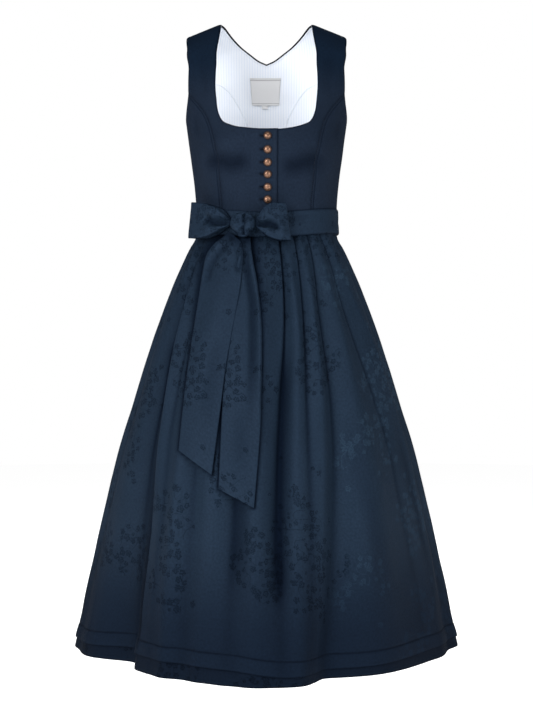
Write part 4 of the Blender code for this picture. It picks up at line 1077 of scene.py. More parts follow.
def fold_grid(first, last, parts, fractions, rise=None):
    """Arcs and heights of a grid between two fold lines, denser beside each line."""
    marks = []
    for number in range(first, last):
        for k in range(parts):
            share = k / parts
            marks.append((number, share - GRID_PULL * math.sin(2 * math.pi * share)))
    marks.append((last, 0.0))
    arcs, heights = [], []
    for number, share in marks:
        height = WAIST + (HEM - WAIST) * fractions
        for _ in range(GRID_SETTLE_STEPS):
            start = line_angle(number, height)
            degrees = start + (line_angle(number + 1, height) - start) * share
            top = waist_height(np.radians(degrees)) - SEAM_GAP / 2
            low = np.full(len(fractions), HEM)
            if rise is not None:
                ends = APRON_RISES[0].angle, APRON_RISES[-1].angle
                low = low + rise(np.clip(facing(degrees), *ends))
            height = top + (low - top) * fractions
        arcs.append(np.radians(degrees) * ARC_RADIUS)
        heights.append(height)
    return np.array(arcs).T, np.array(heights).T


def belt_reach(turn, share):
    """Distance from the axis to the belt's inner face, from its bottom edge to its top."""
    degrees = facing(np.degrees(turn))
    over = ease(degrees, *LAP_RISE) - ease(degrees, *LAP_FALL)
    seam = waist_height(turn)
    top = seam + BELT_HALF_HEIGHT
    depth = np.where(np.cos(turn) > 0, BODICE_FRONT(top), BODICE_BACK(top))
    upper = ring_radius(turn, BODICE_WIDTH(top), depth, BODICE_CORNER)
    upper = upper + over * (BODICE_WALL + LAP_GAP)
    low = seam - BELT_HALF_HEIGHT
    lower = skirt_radius(turn, low, crests_only=True) + LAYER_GAP + APRON_WALL + BELT_FLARE
    return lower + (upper - lower) * share + BELT_CLEARANCE


def belt(arc, rise):
    """Point on the belt's inner face at a height above the waist seam."""
    turn = arc / ARC_RADIUS
    reach = belt_reach(turn, (rise / BELT_HALF_HEIGHT + 1) / 2)
    return round_axis(turn, reach, waist_height(turn) + rise)


def off_belt(degrees, height, stand_off):
    """Point at an absolute height, standing off the belt's outer face."""
    turn = np.radians(degrees)
    share = (np.clip((height - waist_height(turn)) / BELT_HALF_HEIGHT, -1.0, 1.0) + 1) / 2

    def face(turn):
        """Point on the belt's outer face."""
        return round_axis(turn, belt_reach(turn, share) + BELT_WALL, height)

    run = face(turn + TURN_STEP) - face(turn - TURN_STEP)
    size = np.hypot(run[..., 0], run[..., 1])
    return face(turn) + stacked(run[..., 1], -run[..., 0], 0 * size) * np.asarray(
        stand_off / size)[..., None]


def grid_faces(rows, columns_across, closed=False):
    """Squares over a grid of points, top row first and each row in rising arc."""
    corners = np.arange(rows * columns_across).reshape(rows, columns_across)
    if closed:
        corners = np.hstack([corners, corners[:, :1]])
    sides = [corners[1:, :-1], corners[1:, 1:], corners[:-1, 1:], corners[:-1, :-1]]
    return stacked(*(side.ravel() for side in sides)).tolist()


def add_object(name, data):
    """New object in the scene."""
    built = bpy.data.objects.new(name, data)
    bpy.context.scene.collection.objects.link(built)
    return built


def add_mesh(name, points, faces, cut, hollow, materials, face_materials=None):
    """Mesh object from points in millimetres, with its flat cut in metres and its painted shade."""
    mesh = bpy.data.meshes.new(name)
    mesh.from_pydata((np.asarray(points) * METRE).tolist(), [], faces)
    for material in materials:
        mesh.materials.append(material)
    if face_materials is not None:
        mesh.polygons.foreach_set("material_index", np.array(face_materials, np.int32))
    corner_points = np.empty(len(mesh.loops), np.int32)
    mesh.loops.foreach_get("vertex_index", corner_points)
    cut = (np.asarray(cut)[corner_points] * METRE).astype(np.float32)
    mesh.uv_layers.new(name=CUT_LAYER).data.foreach_set("uv", cut.ravel())
    shade = mesh.attributes.new(HOLLOW_ATTRIBUTE, "FLOAT", "POINT")
    shade.data.foreach_set("value", np.clip(hollow, 0, 1).astype(np.float32))
    mesh.update()
    mesh.validate()
    mesh.shade_smooth()
    mesh.set_sharp_from_angle(angle=math.radians(SHARP_EDGE))
    built = add_object(name, mesh)
    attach(built, BODY)
    return built


def vertex_normals(points, faces):
    """Outward unit normals of an open face at its points."""
    mesh = bpy.data.meshes.new("normals")
    mesh.from_pydata(np.asarray(points).tolist(), [], faces)
    mesh.update()
    normals = np.empty(len(points) * 3, np.float32)
    mesh.vertex_normals.foreach_get("vector", normals)
    bpy.data.meshes.remove(mesh)
    return normals.reshape(-1, 3).astype(float)


def add_shell(name, points, faces, cut, hollow, wall, materials):
    """Thin closed shell of cloth: the outer face given and an inner face a wall behind it."""
    count = len(points)
    inner = points - vertex_normals(points, faces) * wall
    directed = {(a, b) for face in faces for a, b in zip(face, face[1:] + face[:1])}
    rim = sorted((b, a, a + count, b + count) for a, b in directed if (b, a) not in directed)
    inside = [[corner + count for corner in face[::-1]] for face in faces]
    face_materials = [0] * len(faces) + [len(materials) - 1] * len(inside) + [0] * len(rim)
    return add_mesh(name, np.concatenate([points, inner]), list(faces) + inside + rim,
        np.concatenate([cut, cut]), np.tile(np.ravel(hollow), 2), materials, face_materials)


def grid_shell(name, points, cut, hollow, wall, material, turned=False):
    """Shell of cloth over a grid of points, its faces turned round or not."""
    faces = [face[::-1] if turned else face for face in grid_faces(*points.shape[:2])]
    return add_shell(name, points.reshape(-1, 3), faces, cut.reshape(-1, 2), hollow, wall,
        [material])


def declare(built):
    """Put a cloth piece in place of its CAD node, which is hidden."""
    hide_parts(built.name.lower())


def body_offset(u, v, creases):
    """Height of the bodice's soft creases at places of its form."""
    return crease_lift(bodice(u, v)[..., 0], v, creases) + ripple(u, v)


def panel(name, edges, raised, wall, creases, stitched, materials, slits=()):
    """Cut panel on the bodice's form, rolled at its edge and drawn in along its stitching."""
    across, up = BUTTONHOLE_HALF[0] + BUTTONHOLE_GRAIN, 2 * BUTTONHOLE_GRAIN
    patch = np.mgrid[-across:across:9j, -up:up:5j].reshape(2, -1).T
    flat, faces, loop = cut_panel(edges, [patch + slit for slit in slits])
    u, v = flat.T
    folds = body_offset(u, v, creases)
    roll = np.clip(1 - distance_to(flat, loop, closed=True) / SEAM_ROLL, 0, 1)
    offset = raised(u, v) + folds - SEAM_DROP * roll ** 2
    # Painted shade in the creases, along the rolled edge, in the grooves of the stitching and in
    # the buttonholes
    edge = EDGE_HOLLOW * roll ** EDGE_HOLLOW_POWER
    hollow = np.maximum(hollow_of(folds, BODICE_HOLLOW_DEPTH), edge)
    for line in stitched:
        groove = bell((distance_to(flat, line) - STITCH_INSET) / STITCH_GROOVE_WIDTH)
        offset = offset - STITCH_GROOVE * groove
        hollow = np.maximum(hollow, GROOVE_HOLLOW * groove)
    for slit in slits:
        along, off = ((flat - slit) / (BUTTONHOLE_HALF[0], BUTTONHOLE_GRAIN)).T
        gap = np.exp(-along ** 4 - off ** 2)
        offset = offset - STITCH_GROOVE * gap
        hollow = np.maximum(hollow, BUTTONHOLE_HOLLOW * gap)
    start = 0.0 if abs(u).max() < math.pi / 2 * ARC_RADIUS + 1 else math.pi * ARC_RADIUS
    cut = stacked(length_round(bodice, u, v, start), v)
    points = moved_out(bodice, u, v, offset)
    declare(add_shell(name, points, faces, cut, hollow, wall, materials))


def half_edges(tables, back, left):
    """Named edge lines of one half of the bodice's front or back."""
    names = ("neck", "armhole", "princess", "underarm")
    lines = {name: edge_line(points, back, left) for name, points in zip(names, tables)}
    lines["shoulder"] = shoulder_line(back, left)
    side_top = lines["underarm"][-1]
    lines["side_waist"] = waist_line(lines["princess"][-1][0], side_top[0])
    lines["side"] = straight_line((side_top[0], WAIST), side_top)
    return lines


def front_edges(left):
    """Named edge lines of one front half of the bodice."""
    lines = half_edges((FRONT_NECKLINE, FRONT_ARMHOLE, FRONT_SEAM, FRONT_UNDERARM), False, left)
    # Each front's own centre edge lies past the middle, on the other half
    centre = -UNDERLAP_EDGE if left else LAP_EDGE
    top = on_bodice(EdgePoint(-centre, NECK_FOOT), left=left)
    bottom_arc = (-centre if left else centre) / float(BODICE_WIDTH(WAIST)) * ARC_RADIUS
    lines["neck_end"] = straight_line(lines["neck"][-1], top)
    lines["closure"] = straight_line(top, (bottom_arc, float(bodice_waist(bottom_arc))))
    lines["waist"] = waist_line(bottom_arc, lines["princess"][-1][0])
    return lines


def back_edges(left):
    """Named edge lines of one back half of the bodice."""
    return half_edges((BACK_NECKLINE, BACK_ARMHOLE, BACK_SEAM, BACK_UNDERARM), True, left)


def chain(lines, names, free_inset=SEAM_GAP / 2):
    """Edges in order with their insets; a minus sign turns a line round."""
    insets = {"princess": -SEAM_OVERLAP, "side": -SEAM_OVERLAP, "shoulder": -SEAM_OVERLAP,
        "waist": SEAM_GAP / 2, "side_waist": SEAM_GAP / 2}
    edges = []
    for name in names.split():
        plain = name.strip("-")
        line = lines[plain]
        edges.append((line if name == plain else line[::-1], insets.get(plain, free_inset)))
    return edges


def not_raised(u, v):
    """No stand-off anywhere."""
    return 0.0 * u


def buttonhole_places():
    """Arc and unrolled height of the middle of each buttonhole."""
    middles = [EdgePoint(BUTTON_X + BUTTONHOLE_MIDDLE, height) for height in BUTTON_HEIGHTS]
    return [np.array(on_bodice(middle)) for middle in middles]


def make_fronts(materials):
    """Four panels of the bodice's front, the right one lapped over the left one."""
    for side, left in SIDES:
        lines = front_edges(left)
        edges = chain(lines, "neck neck_end closure waist -princess -armhole -shoulder")
        panel("Bodice_front_" + side, edges, not_raised if left else lap, BODICE_WALL,
            FRONT_CREASES, [lines["princess"]], materials,
            () if left else buttonhole_places())
        panel("Bodice_side_front_" + side, chain(lines, "princess side_waist side -underarm"),
            not_raised, BODICE_WALL, FRONT_CREASES, [], materials)


def make_backs(title, depth, wall, free_inset, creases, stitched, materials):
    """Three panels of the back, for the bodice or for its lining."""

    def behind(u, v):
        """Depth of the cloth behind the form."""
        return 0.0 * u - depth

    halves = [back_edges(left) for _, left in SIDES]
    for (side, _), lines in zip(SIDES, halves):
        edges = chain(lines, "princess side_waist side -underarm", free_inset)
        panel("%s_side_back_%s" % (title, side), edges, behind, wall, creases, [], materials)
    right, left = halves
    waist = waist_line(right["princess"][-1][0], left["princess"][-1][0])
    edges = chain(right, "-neck shoulder armhole princess", free_inset)
    edges += [(waist, SEAM_GAP / 2)]
    edges += chain(left, "-princess -armhole -shoulder neck", free_inset)
    panel(title + "_back", edges, behind, wall, creases,
        [lines["princess"] for lines in halves if stitched], materials)


def label_place(centre, size, across, up):
    """Arc and unrolled height at a share across and up a small piece on the lining."""
    arc, rise = on_bodice(centre, back=True)
    half_arc = size[0] / 2 / float(BODICE_WIDTH(rise)) * ARC_RADIUS
    return arc + half_arc * across, rise + size[1] / 2 * up


def make_label(name, centre, size, material):
    """Small flat woven piece on the lining, folded under at its top and bottom."""
    shares = np.linspace(-1, 1, LABEL_LINES)
    across, up = np.meshgrid(shares, -shares)
    u, v = label_place(centre, size, across, up)
    fold = LABEL_FOLD * bell((1 - np.abs(up)) * size[1] / 2 / LABEL_FOLD_WIDTH)
    wave = LABEL_WAVE * np.sin(across * 2.1 + 0.6) * np.cos(up * 1.7)
    points = moved_out(bodice, u, v, -LABEL_DEPTH - fold - wave)
    cut = stacked(across * size[0] / 2, up * size[1] / 2)
    # Seen from inside the dress, so its faces look inward
    return grid_shell(name, points, cut, 0 * u, LABEL_WALL, material, turned=True)


def seated(surface, u, v, offset=0.0):
    """Points off a surface, and the way out of it there."""
    points = moved_out(surface, u, v, offset + 0 * u)
    return points, moved_out(surface, u, v, offset + 1 + 0 * u) - points


def button_seats():
    """Centre and three directions (across, up, out) of each button's seat."""
    seats = []
    for height in BUTTON_HEIGHTS:
        arc, rise = (np.array(part) for part in on_bodice(EdgePoint(BUTTON_X, height)))
        offset = lap(arc, rise) + body_offset(arc, rise, FRONT_CREASES)
        seat, out = seated(bodice, arc, rise, offset)
        across = unit(np.cross((0, 0, 1), out))
        seats.append((seat, across, np.cross(out, across), out))
    return seats


def placed(centre, ways, parts):
    """Points at distances from a centre along three directions."""
    return centre + sum(np.asarray(part)[..., None] * way for part, way in zip(parts, ways))


def make_buttons(metal):
    """Domed metal buttons with a beaded rim and petals round the middle."""
    turns = np.linspace(0, 2 * math.pi, BUTTON_SIDES, endpoint=False)
    reaches, rises = np.array(BUTTON_RELIEF).T
    reach, turn = np.meshgrid(reaches, turns, indexing="ij")
    rings_of = [(domes, domes.height * bell((reach - domes.reach) / domes.width))
        for domes in (BEADS, PETALS)]
    on_top = np.arange(len(reaches))[:, None] >= BUTTON_BACK_RINGS
    rings, sides = reach.shape
    flat = (reach * np.cos(turn), reach * np.sin(turn))
    whole = [list(range(sides))[::-1], list(range((rings - 1) * sides, rings * sides))]
    whole += [face[::-1] for face in grid_faces(rings, sides, closed=True)]
    points, faces = [], []
    for (seat, *ways), lean in zip(button_seats(), BUTTON_LEANS):
        relief = sum(ring * np.abs(np.cos(domes.count / 2 * (turn + lean)))
            for domes, ring in rings_of) - rings_of[0][1] / 2
        relief = np.where(on_top, relief, 0.0)
        faces += [[corner + len(points) for corner in face] for face in whole]
        points += placed(seat, ways, (*flat, rises[:, None] + relief)).reshape(-1, 3).tolist()
    cut = np.tile(stacked(*flat).reshape(-1, 2), (len(BUTTON_HEIGHTS), 1))
    built = add_mesh("Buttons", points, faces, cut, np.zeros(len(points)), [metal])
    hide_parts(*["button_%d" % (number + 1) for number in range(len(BUTTON_HEIGHTS))])


def tail_shade(points):
    """Shade on the apron beside the bow's hanging ends."""
    flat = points[..., [0, 2]].reshape(-1, 2)
    reach = np.interp(flat[:, 1], TAIL_SHADE_HEIGHTS, TAIL_SHADE_REACHES)
    shade = 0 * reach
    for rows in (RIGHT_TAIL, LEFT_TAIL):
        outer = [(row.outer_x, row.outer_height) for row in rows]
        inner = [(row.inner_x, row.inner_height) for row in rows]
        loop = np.array(outer + inner[::-1])
        gap = np.where(is_inside(flat, loop), 0, distance_to(flat, loop, closed=True))
        shade = np.maximum(shade, TAIL_SHADE * bell(gap / reach))
    return shade.reshape(points.shape[:-1])


def skirt_shell(name, first, last, parts, rows, rise, stand_off, hem_depth, material, slot):
    """Folded cloth of the skirt or the apron between two fold lines."""
    above = hem_depth + HEM_GROOVE_WIDTH * np.linspace(-2, 2, HEM_GROOVE_ROWS)
    above = np.concatenate([above, HEM_GROOVE_WIDTH * np.linspace(0.5, 2, HEM_EDGE_ROWS)])
    rows = np.sort(np.concatenate([np.linspace(0, 1, rows), 1 - above / (WAIST - HEM)]))
    arcs, heights = fold_grid(first, last, parts, rows, rise)
    above_hem = heights - heights[-1]
    groove = bell((above_hem - hem_depth) / HEM_GROOVE_WIDTH)
    flare = HEM_FLARE * bell(above_hem / hem_depth)
    points = skirt_cloth(stand_off + flare - HEM_GROOVE * groove)(arcs, heights)
    # Painted shade in the folds, the hem's groove and along the hem's edge, and painted shadow of
    # the tails on the apron and of the apron's hem on the skirt
    hollow = fine_hollow(arcs / ARC_RADIUS, heights)
    edge = EDGE_HOLLOW * bell(above_hem / HEM_GROOVE_WIDTH)
    beside = tail_shade(points) if stand_off else (
        UNDER_HOLLOW * (1 - ease(above_hem, hem_depth, 2 * hem_depth)))
    hollow = np.max([hollow, HEM_HOLLOW * groove, edge, beside], axis=0)
    around = lengths_along(points, 1)
    middle = around.shape[1] // 2
    cut = stacked(around - around[:, middle:middle + 1], heights)
    declare(grid_shell(name, points, cut, hollow, CLOTH_WALL, material))


def make_skirt(material):
    """Front and back of the gathered skirt."""
    for name, *span in (("Skirt_front", 0, SIDE_LINE, FRONT_PARTS),
        ("Skirt_back", SIDE_LINE, len(ALL_FOLDS), BACK_PARTS)):
        skirt_shell(name, *span, SKIRT_ROWS, None, 0.0, SKIRT_HEM_DEPTH, material, "skirt_cloth")


def make_apron(material):
    """Apron over the skirt's front, reaching one fold line past each side seam."""
    skirt_shell("Apron", -1, SIDE_LINE + 1, APRON_PARTS, APRON_ROWS, APRON_RISE, APRON_OUT,
        APRON_HEM_DEPTH, material, "apron_cloth")


def make_belt(material):
    """Apron waistband and tie round the waist, in a front and a back length."""
    split = math.radians(BELT_SPLIT) * ARC_RADIUS
    whole = 2 * math.pi * ARC_RADIUS
    rises = np.sin(np.linspace(math.pi / 2, -math.pi / 2, BELT_ROWS)) * BELT_HALF_HEIGHT
    for name, start, end in (("Belt_front", -split, split), ("Belt_back", split, whole - split)):
        count = round((end - start) / BELT_STEP)
        arcs = np.linspace(start + SEAM_GAP / 2, end - SEAM_GAP / 2, count)
        arc, rise = np.meshgrid(arcs, rises)
        inward = np.clip((BELT_HALF_HEIGHT - np.abs(rise)) / BELT_ROLL, 0, 1)
        along = (arc * BELT_REACH_SHARE) % BELT_ROUND
        along = np.where(along > BELT_ROUND - BELT_WRAP, along - BELT_ROUND, along)
        lift = crease_lift(along, rise, BELT_CREASES)
        # Painted shade along the rolled edges and in the creases
        edge = EDGE_HOLLOW * (1 - inward) ** EDGE_HOLLOW_POWER
        hollow = np.maximum(hollow_of(lift, BODICE_HOLLOW_DEPTH), edge)
        offset = BELT_WALL - BELT_ROLL_DROP * (1 - inward) ** 2 + lift * inward
        points = moved_out(belt, arc, rise, offset)
        cut = stacked(arc * BELT_REACH_SHARE, rise)
        declare(grid_shell(name, points, cut, hollow, BELT_CLOTH_WALL, material))


def make_knot(material):
    """Rounded knot of the bow, creased where the tie is drawn through."""
    degrees, height = np.array(KNOT_ANGLE), np.array(KNOT_HEIGHT)
    seat = off_belt(degrees, height, 0.0)
    out = off_belt(degrees, height, 1.0) - seat
    centre = seat + out * (KNOT_HALF[2] + LAYER_GAP)
    up = np.array((0.0, 0.0, 1.0))
    tilt = np.linspace(0, math.pi, KNOT_GRID[0])[1:-1]
    turn = np.linspace(0, 2 * math.pi, KNOT_GRID[1], endpoint=False)
    tilt, turn = np.meshgrid(tilt, turn, indexing="ij")
    # The poles lie front and back, where the rings are finest
    ways = (np.sin(tilt) * np.cos(turn), np.sin(tilt) * np.sin(turn), np.cos(tilt))
    x, y, z = (np.sign(part) * np.abs(part) ** KNOT_FULLNESS for part in ways)
    face = ease(z, *KNOT_FACE)
    taper = 1 - KNOT_TAPER * np.clip(-y, 0, 1) ** 1.5 - KNOT_TOP_TAPER * np.clip(y, 0, 1) ** 2
    x, y = x * KNOT_HALF[0] * taper, y * KNOT_HALF[1]
    lift = crease_lift(x, y, KNOT_CREASES) * face
    points = placed(centre, (np.cross(up, out), up, out), (x, y, z * KNOT_HALF[2] + lift))
    poles = [centre + out * (KNOT_HALF[2] + float(lift[0].mean())), centre - out * KNOT_HALF[2]]
    rings, sides = tilt.shape
    last = (rings - 1) * sides
    faces = grid_faces(rings, sides, closed=True)
    for i in range(sides):
        k = (i + 1) % sides
        faces += [[rings * sides, i, k], [rings * sides + 1, last + k, last + i]]
    # Painted shade in the creases and on the knot's sides
    hollow = np.maximum(hollow_of(lift, TIE_HOLLOW_DEPTH), KNOT_SIDE_HOLLOW * (1 - face))
    built = add_mesh("Bow_knot", np.concatenate([points.reshape(-1, 3), poles]), faces,
        np.concatenate([stacked(x, y).reshape(-1, 2), np.zeros((2, 2))]),
        np.append(hollow, (0.0, 0.0)), [material])
    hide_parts("bow_knot")


def finished_tie(lift, from_edge, from_knot, shade_reach):
    """Height of the tie's creases, rolled at its edges, and its painted shade in creases, along its
    edges and beside the knot.
    """
    edge = np.clip(1 - from_edge / TIE_ROLL, 0, 1)
    by_knot = KNOT_HOLLOW * (1 - ease(from_knot, 0, shade_reach))
    hollow = np.max([hollow_of(lift, TIE_HOLLOW_DEPTH), EDGE_HOLLOW * edge ** 3, by_knot], axis=0)
    return lift * (1 - edge) - TIE_ROLL_DROP * edge ** 2, hollow


def make_loop(material, name, rows, creases, lean, hand):
    """One loop of the bow: a ribbon that leaves the knot, turns and comes back creased."""
    angle, stand_off, middle, half, pinch = columns_of(rows)
    top = len(rows) - 1

    def ribbon(u, v):
        """Point on the ribbon along its path and across it."""
        by_knot = 1 - ease(np.minimum(u, top - u), 0, LOOP_PINCH_REACH)
        spread = half(u) * (1 - LOOP_PINCH * by_knot)
        degrees = angle(u) + lean * v * (spread / LOOP_HALF_MAX) ** 2
        off = stand_off(u) - pinch(u) * np.cos(np.pi * v / 2) ** 2
        return off_belt(degrees, middle(u) + spread * v, off)

    path = np.linspace(0, top, LOOP_GRID[0])
    u, v = np.meshgrid(path, np.linspace(1, -1, LOOP_GRID[1]))
    along = lengths_along(ribbon(path, 0 * path))
    from_knot = along[-1] - np.interp(u, path, along)
    spread = half(u) * v
    lift = crease_lift(from_knot, spread, creases) * ease(u - top / 2, *LOOP_FACE)
    lift, hollow = finished_tie(lift, (1 - np.abs(v)) * half(u), from_knot, KNOT_SHADE_REACH)
    points = moved_out(ribbon, u, v, hand * (TIE_WALL / 2 + lift), RIBBON_STEP)
    cut = stacked(from_knot, spread)
    declare(grid_shell(name, points, cut, hollow, TIE_WALL, material, hand < 0))


def make_tail(material, name, rows, creases, swell):
    """One hanging end of the tie, lying over the apron's crests."""
    outer_x, outer_z, inner_x, inner_z, lift = columns_of(rows)

    def ribbon(u, v):
        """Point on the tail's outer face across it and down it."""
        x = outer_x(-v) + (inner_x(-v) - outer_x(-v)) * u
        height = outer_z(-v) + (inner_z(-v) - outer_z(-v)) * u
        turn = 0.0 * x
        for _ in range(SETTLE_STEPS):
            reach = skirt_radius(turn, height, crests_only=True) + lift(-v)
            reach = reach + swell * np.sin(np.pi * u) ** 2
            turn = np.arcsin(np.clip(x / reach, -1.0, 1.0))
        return round_axis(turn, reach, height)

    across = (1 - np.cos(np.linspace(0, math.pi, TAIL_GRID[0]))) / 2
    u, v = np.meshgrid(across, -np.linspace(0, len(rows) - 1, TAIL_GRID[1]))
    width = np.abs(inner_x(-v) - outer_x(-v))
    down = (outer_z(0.0) + inner_z(0.0) - outer_z(-v) - inner_z(-v)) / 2
    aside = (u - 0.5) * width
    folds = crease_lift(aside, down, creases)
    offset, hollow = finished_tie(folds, np.minimum(u, 1 - u) * width, down, TAIL_SHADE_REACH)
    offset = offset + np.clip(ripple(aside + TAIL_RIPPLE_SHIFT, down), *TAIL_RIPPLE)
    points = moved_out(ribbon, u, v, offset, RIBBON_STEP)
    cut = stacked(aside, -down)
    declare(grid_shell(name, points, cut, hollow, TIE_CLOTH_WALL, material))


class Wire:
    """Output of a node; arithmetic on it adds math nodes."""

    def __init__(self, board, socket):
        self.board, self.socket = board, socket

    def __getitem__(self, output):
        return Wire(self.board, self.socket.node.outputs[output])

    def fed(self, values):
        """The same output after its node's inputs are joined or set."""
        self.board.fill(self.socket.node.inputs, values)
        return self

    def result(self, operation, *others):
        """Result of a math node fed by this output first."""
        return self.board.math(operation, self, *others)

    __add__ = partialmethod(result, "ADD")
    __sub__ = partialmethod(result, "SUBTRACT")
    __mul__ = partialmethod(result, "MULTIPLY")
    __truediv__ = partialmethod(result, "DIVIDE")
    __pow__ = partialmethod(result, "POWER")
    __abs__ = partialmethod(result, "ABSOLUTE")
    __or__ = partialmethod(result, "MAXIMUM")


class Board:
    """Short way of adding nodes to a tree and joining them."""

    def __init__(self, tree):
        self.tree = tree

    def fill(self, sockets, values):
        """Join sockets, by position or name, to outputs, or set their constants."""
        for key, value in values.items() if isinstance(values, dict) else enumerate(values):
            if isinstance(value, Wire):
                self.tree.links.new(value.socket, sockets[key])
            else:
                sockets[key].default_value = value

    def node(self, kind, inputs=(), **settings):
        """First output of a new node; the kind of a shader node is given without its prefix."""
        node = self.tree.nodes.new(kind if "Node" in kind else "ShaderNode" + kind)
        for name, value in settings.items():
            setattr(node, name, value)
        return Wire(self, node.outputs[0]).fed(inputs)

    def math(self, operation, *values):
        """Result of a math node."""
        return self.node("Math", values, operation=operation)

    def vector(self, operation, *values):
        """Result of a vector math node."""
        return self.node("VectorMath", values, operation=operation)

    def range(self, value, low, high, to_low=0.0, to_high=1.0, smooth=True):
        """Value taken from one range to another, and held at its ends."""
        kind = "SMOOTHSTEP" if smooth else "LINEAR"
        return self.node("MapRange", (value, low, high, to_low, to_high), interpolation_type=kind)

    def mix(self, share, first, second, **settings):
        """Colour between two colours."""
        node = self.node("Mix", data_type="RGBA", **settings)
        return node.fed({"Factor": share, "A": first, "B": second})["Result"]

    def parts(self, value, kind="SeparateXYZ"):
        """The three parts of a vector or colour."""
        first = self.node(kind, (value,))
        return first, first[1], first[2]

    def noise(self, place, scale, detail=2.0):
        """Noise, its value first."""
        return self.node("TexNoise", {"Vector": place, "Scale": scale, "Detail": detail})

    def cells(self, place, scale, unevenness):
        """Flat cells, the distance to their middles first."""
        values = {"Vector": place, "Scale": scale, "Randomness": unevenness}
        return self.node("TexVoronoi", values, voronoi_dimensions="2D")

    def strayed(self, place, scale, detail, reach):
        """Place moved aside by a noise."""
        stray = self.vector("SUBTRACT", self.noise(place, scale, detail)["Color"], (0.5, 0.5, 0.5))
        return self.vector("ADD", place, self.vector("MULTIPLY", stray, (reach, reach, 0.0)))

    def group(self, name, values):
        """First output of a node group."""
        return self.node("Group", node_tree=bpy.data.node_groups[name]).fed(values)

    def on_cut(self):
        """Place on the flat cut."""
        return self.node("UVMap", uv_map=CUT_LAYER)

    def on_object(self):
        """Place on the dress."""
        return self.node("TexCoord")["Object"]


def new_group(name, kind, inputs, outputs):
    """Empty node group with its board, its inputs and the sockets of its results."""
    group = bpy.data.node_groups.new(name, kind)
    for way, sockets in (("INPUT", inputs), ("OUTPUT", outputs)):
        for title, (data, value) in sockets.items():
            socket = group.interface.new_socket(title, in_out=way, socket_type="NodeSocket" + data)
            if value is not None:
                socket.default_value = value
    board = Board(group)
    return board, board.node("NodeGroupInput"), group.nodes.new("NodeGroupOutput").inputs


def flower_group():
    """Mask of the jacquard: sprays of small five-petalled blossoms, leaves and tendrils."""
    board, given, results = new_group("Flower sprays", "ShaderNodeTree", {"Place": ("Vector", None),
        "Blossom size": ("Float", BLOSSOM_SIZE), "Spray spacing": ("Float", SPRAY_SPACING)},
        {"Motif": ("Float", None)})
    place = board.strayed(given["Place"], BLOSSOM_WOBBLE_SCALE, 1.0, BLOSSOM_WOBBLE)
    scale = board.math("DIVIDE", 1.0, given["Blossom size"])
    cells = board.cells(place, scale, BLOSSOM_UNEVENNESS)
    middle = cells["Position"]
    chance = board.parts(cells["Color"], "SeparateColor")
    x, y, _ = board.parts(board.vector("SUBTRACT", place, middle))
    x, y = x * scale, y * scale
    reach = (x * x + y * y).result("SQRT")
    turn = y.result("ARCTAN2", x) + chance[0] * (2 * math.pi)
    size = board.range(chance[1], 0.0, 1.0, *BLOSSOM_REACH, smooth=False)
    lobes = abs((turn * (PETAL_COUNT / 2)).result("COSINE"))
    edge = size * (lobes * PETAL_LOBE + (1 - PETAL_LOBE))
    outline = board.range(abs(reach - edge), *OUTLINE_EDGE)
    ring = board.range(abs(reach - edge * RING_REACH), *RING_EDGE)
    ring = ring * board.range(chance[1], *RING_CHANCE)
    heart = board.range(reach, *HEART_EDGE)
    petals = board.range(reach - edge, *PETAL_EDGE) * PETAL_FILL
    blossom = (outline | ring) | (heart | petals)
    # A leaf is a filled lens with a bare middle line
    along, aside = abs(reach * turn.result("COSINE")), abs(reach * turn.result("SINE"))
    lens = along ** 2.0 * LEAF_NARROWNESS[0] + aside * LEAF_NARROWNESS[1]
    leaf = board.range(lens, *LEAF_EDGE) * board.range(aside, *LEAF_VEIN)
    is_leaf = chance[2].result("LESS_THAN", LEAF_SHARE)
    motif = leaf * is_leaf + blossom * board.math("SUBTRACT", 1.0, is_leaf)
    # Sprays are uneven patches, longer one way, in which the cells are filled
    bent = board.strayed(middle, SPRAY_BEND_SCALE, 0.0, SPRAY_BEND)
    bent = board.vector("MULTIPLY", bent, (1.0, SPRAY_SQUEEZE, 0.0))
    spray_scale = board.math("DIVIDE", 1.0, given["Spray spacing"])
    sprays = board.cells(bent, spray_scale, SPRAY_UNEVENNESS)
    spray_chance = board.parts(sprays["Color"], "SeparateColor")[0]
    spray_size = board.range(spray_chance, 0.0, 1.0, *SPRAY_REACH, smooth=False)
    in_spray = sprays.result("LESS_THAN", spray_size)
    single = chance[0].result("GREATER_THAN", 1 - SINGLE_SHARE)
    filled = in_spray * chance[0].result("LESS_THAN", FILLED_SHARE) | single
    # Tendrils wander out of the sprays along the contours of a noise
    contour = abs(board.noise(place, TENDRIL_SCALE, 0.0) - 0.5)
    tendril = board.range(contour, *TENDRIL_EDGE)
    motif = motif * filled | tendril * (in_spray * TENDRIL_STRENGTH)
    # Yarns break the woven parts up
    yarns = board.range(board.noise(given["Place"], YARN_SCALE, 1.0), *YARN_EDGE)
    board.fill(results, {"Motif": motif * yarns})


def weave_group():
    """Bump height of fine yarns: diagonal twill lines, or satin floats down the cloth."""
    board, given, results = new_group("Fine weave", "ShaderNodeTree", {"Place": ("Vector", None),
        "Pitch": ("Float", TWILL_PITCH), "Slant": ("Float", 1.0)},
        {"Height": ("Float", None), "Speckle": ("Float", None)})
    x, y, _ = board.parts(given["Place"])
    line = ((y * given["Slant"] + x) / given["Pitch"] * (2 * math.pi)).result("SINE") * 0.5 + 0.5
    slub = board.noise(board.vector("MULTIPLY", given["Place"], SLUB_STRETCH), SLUB_SCALE)
    speckle = board.range(slub, *MIDDLE_SPAN, smooth=False)
    board.fill(results, {"Height": speckle * SLUB_BUMP + line, "Speckle": speckle})


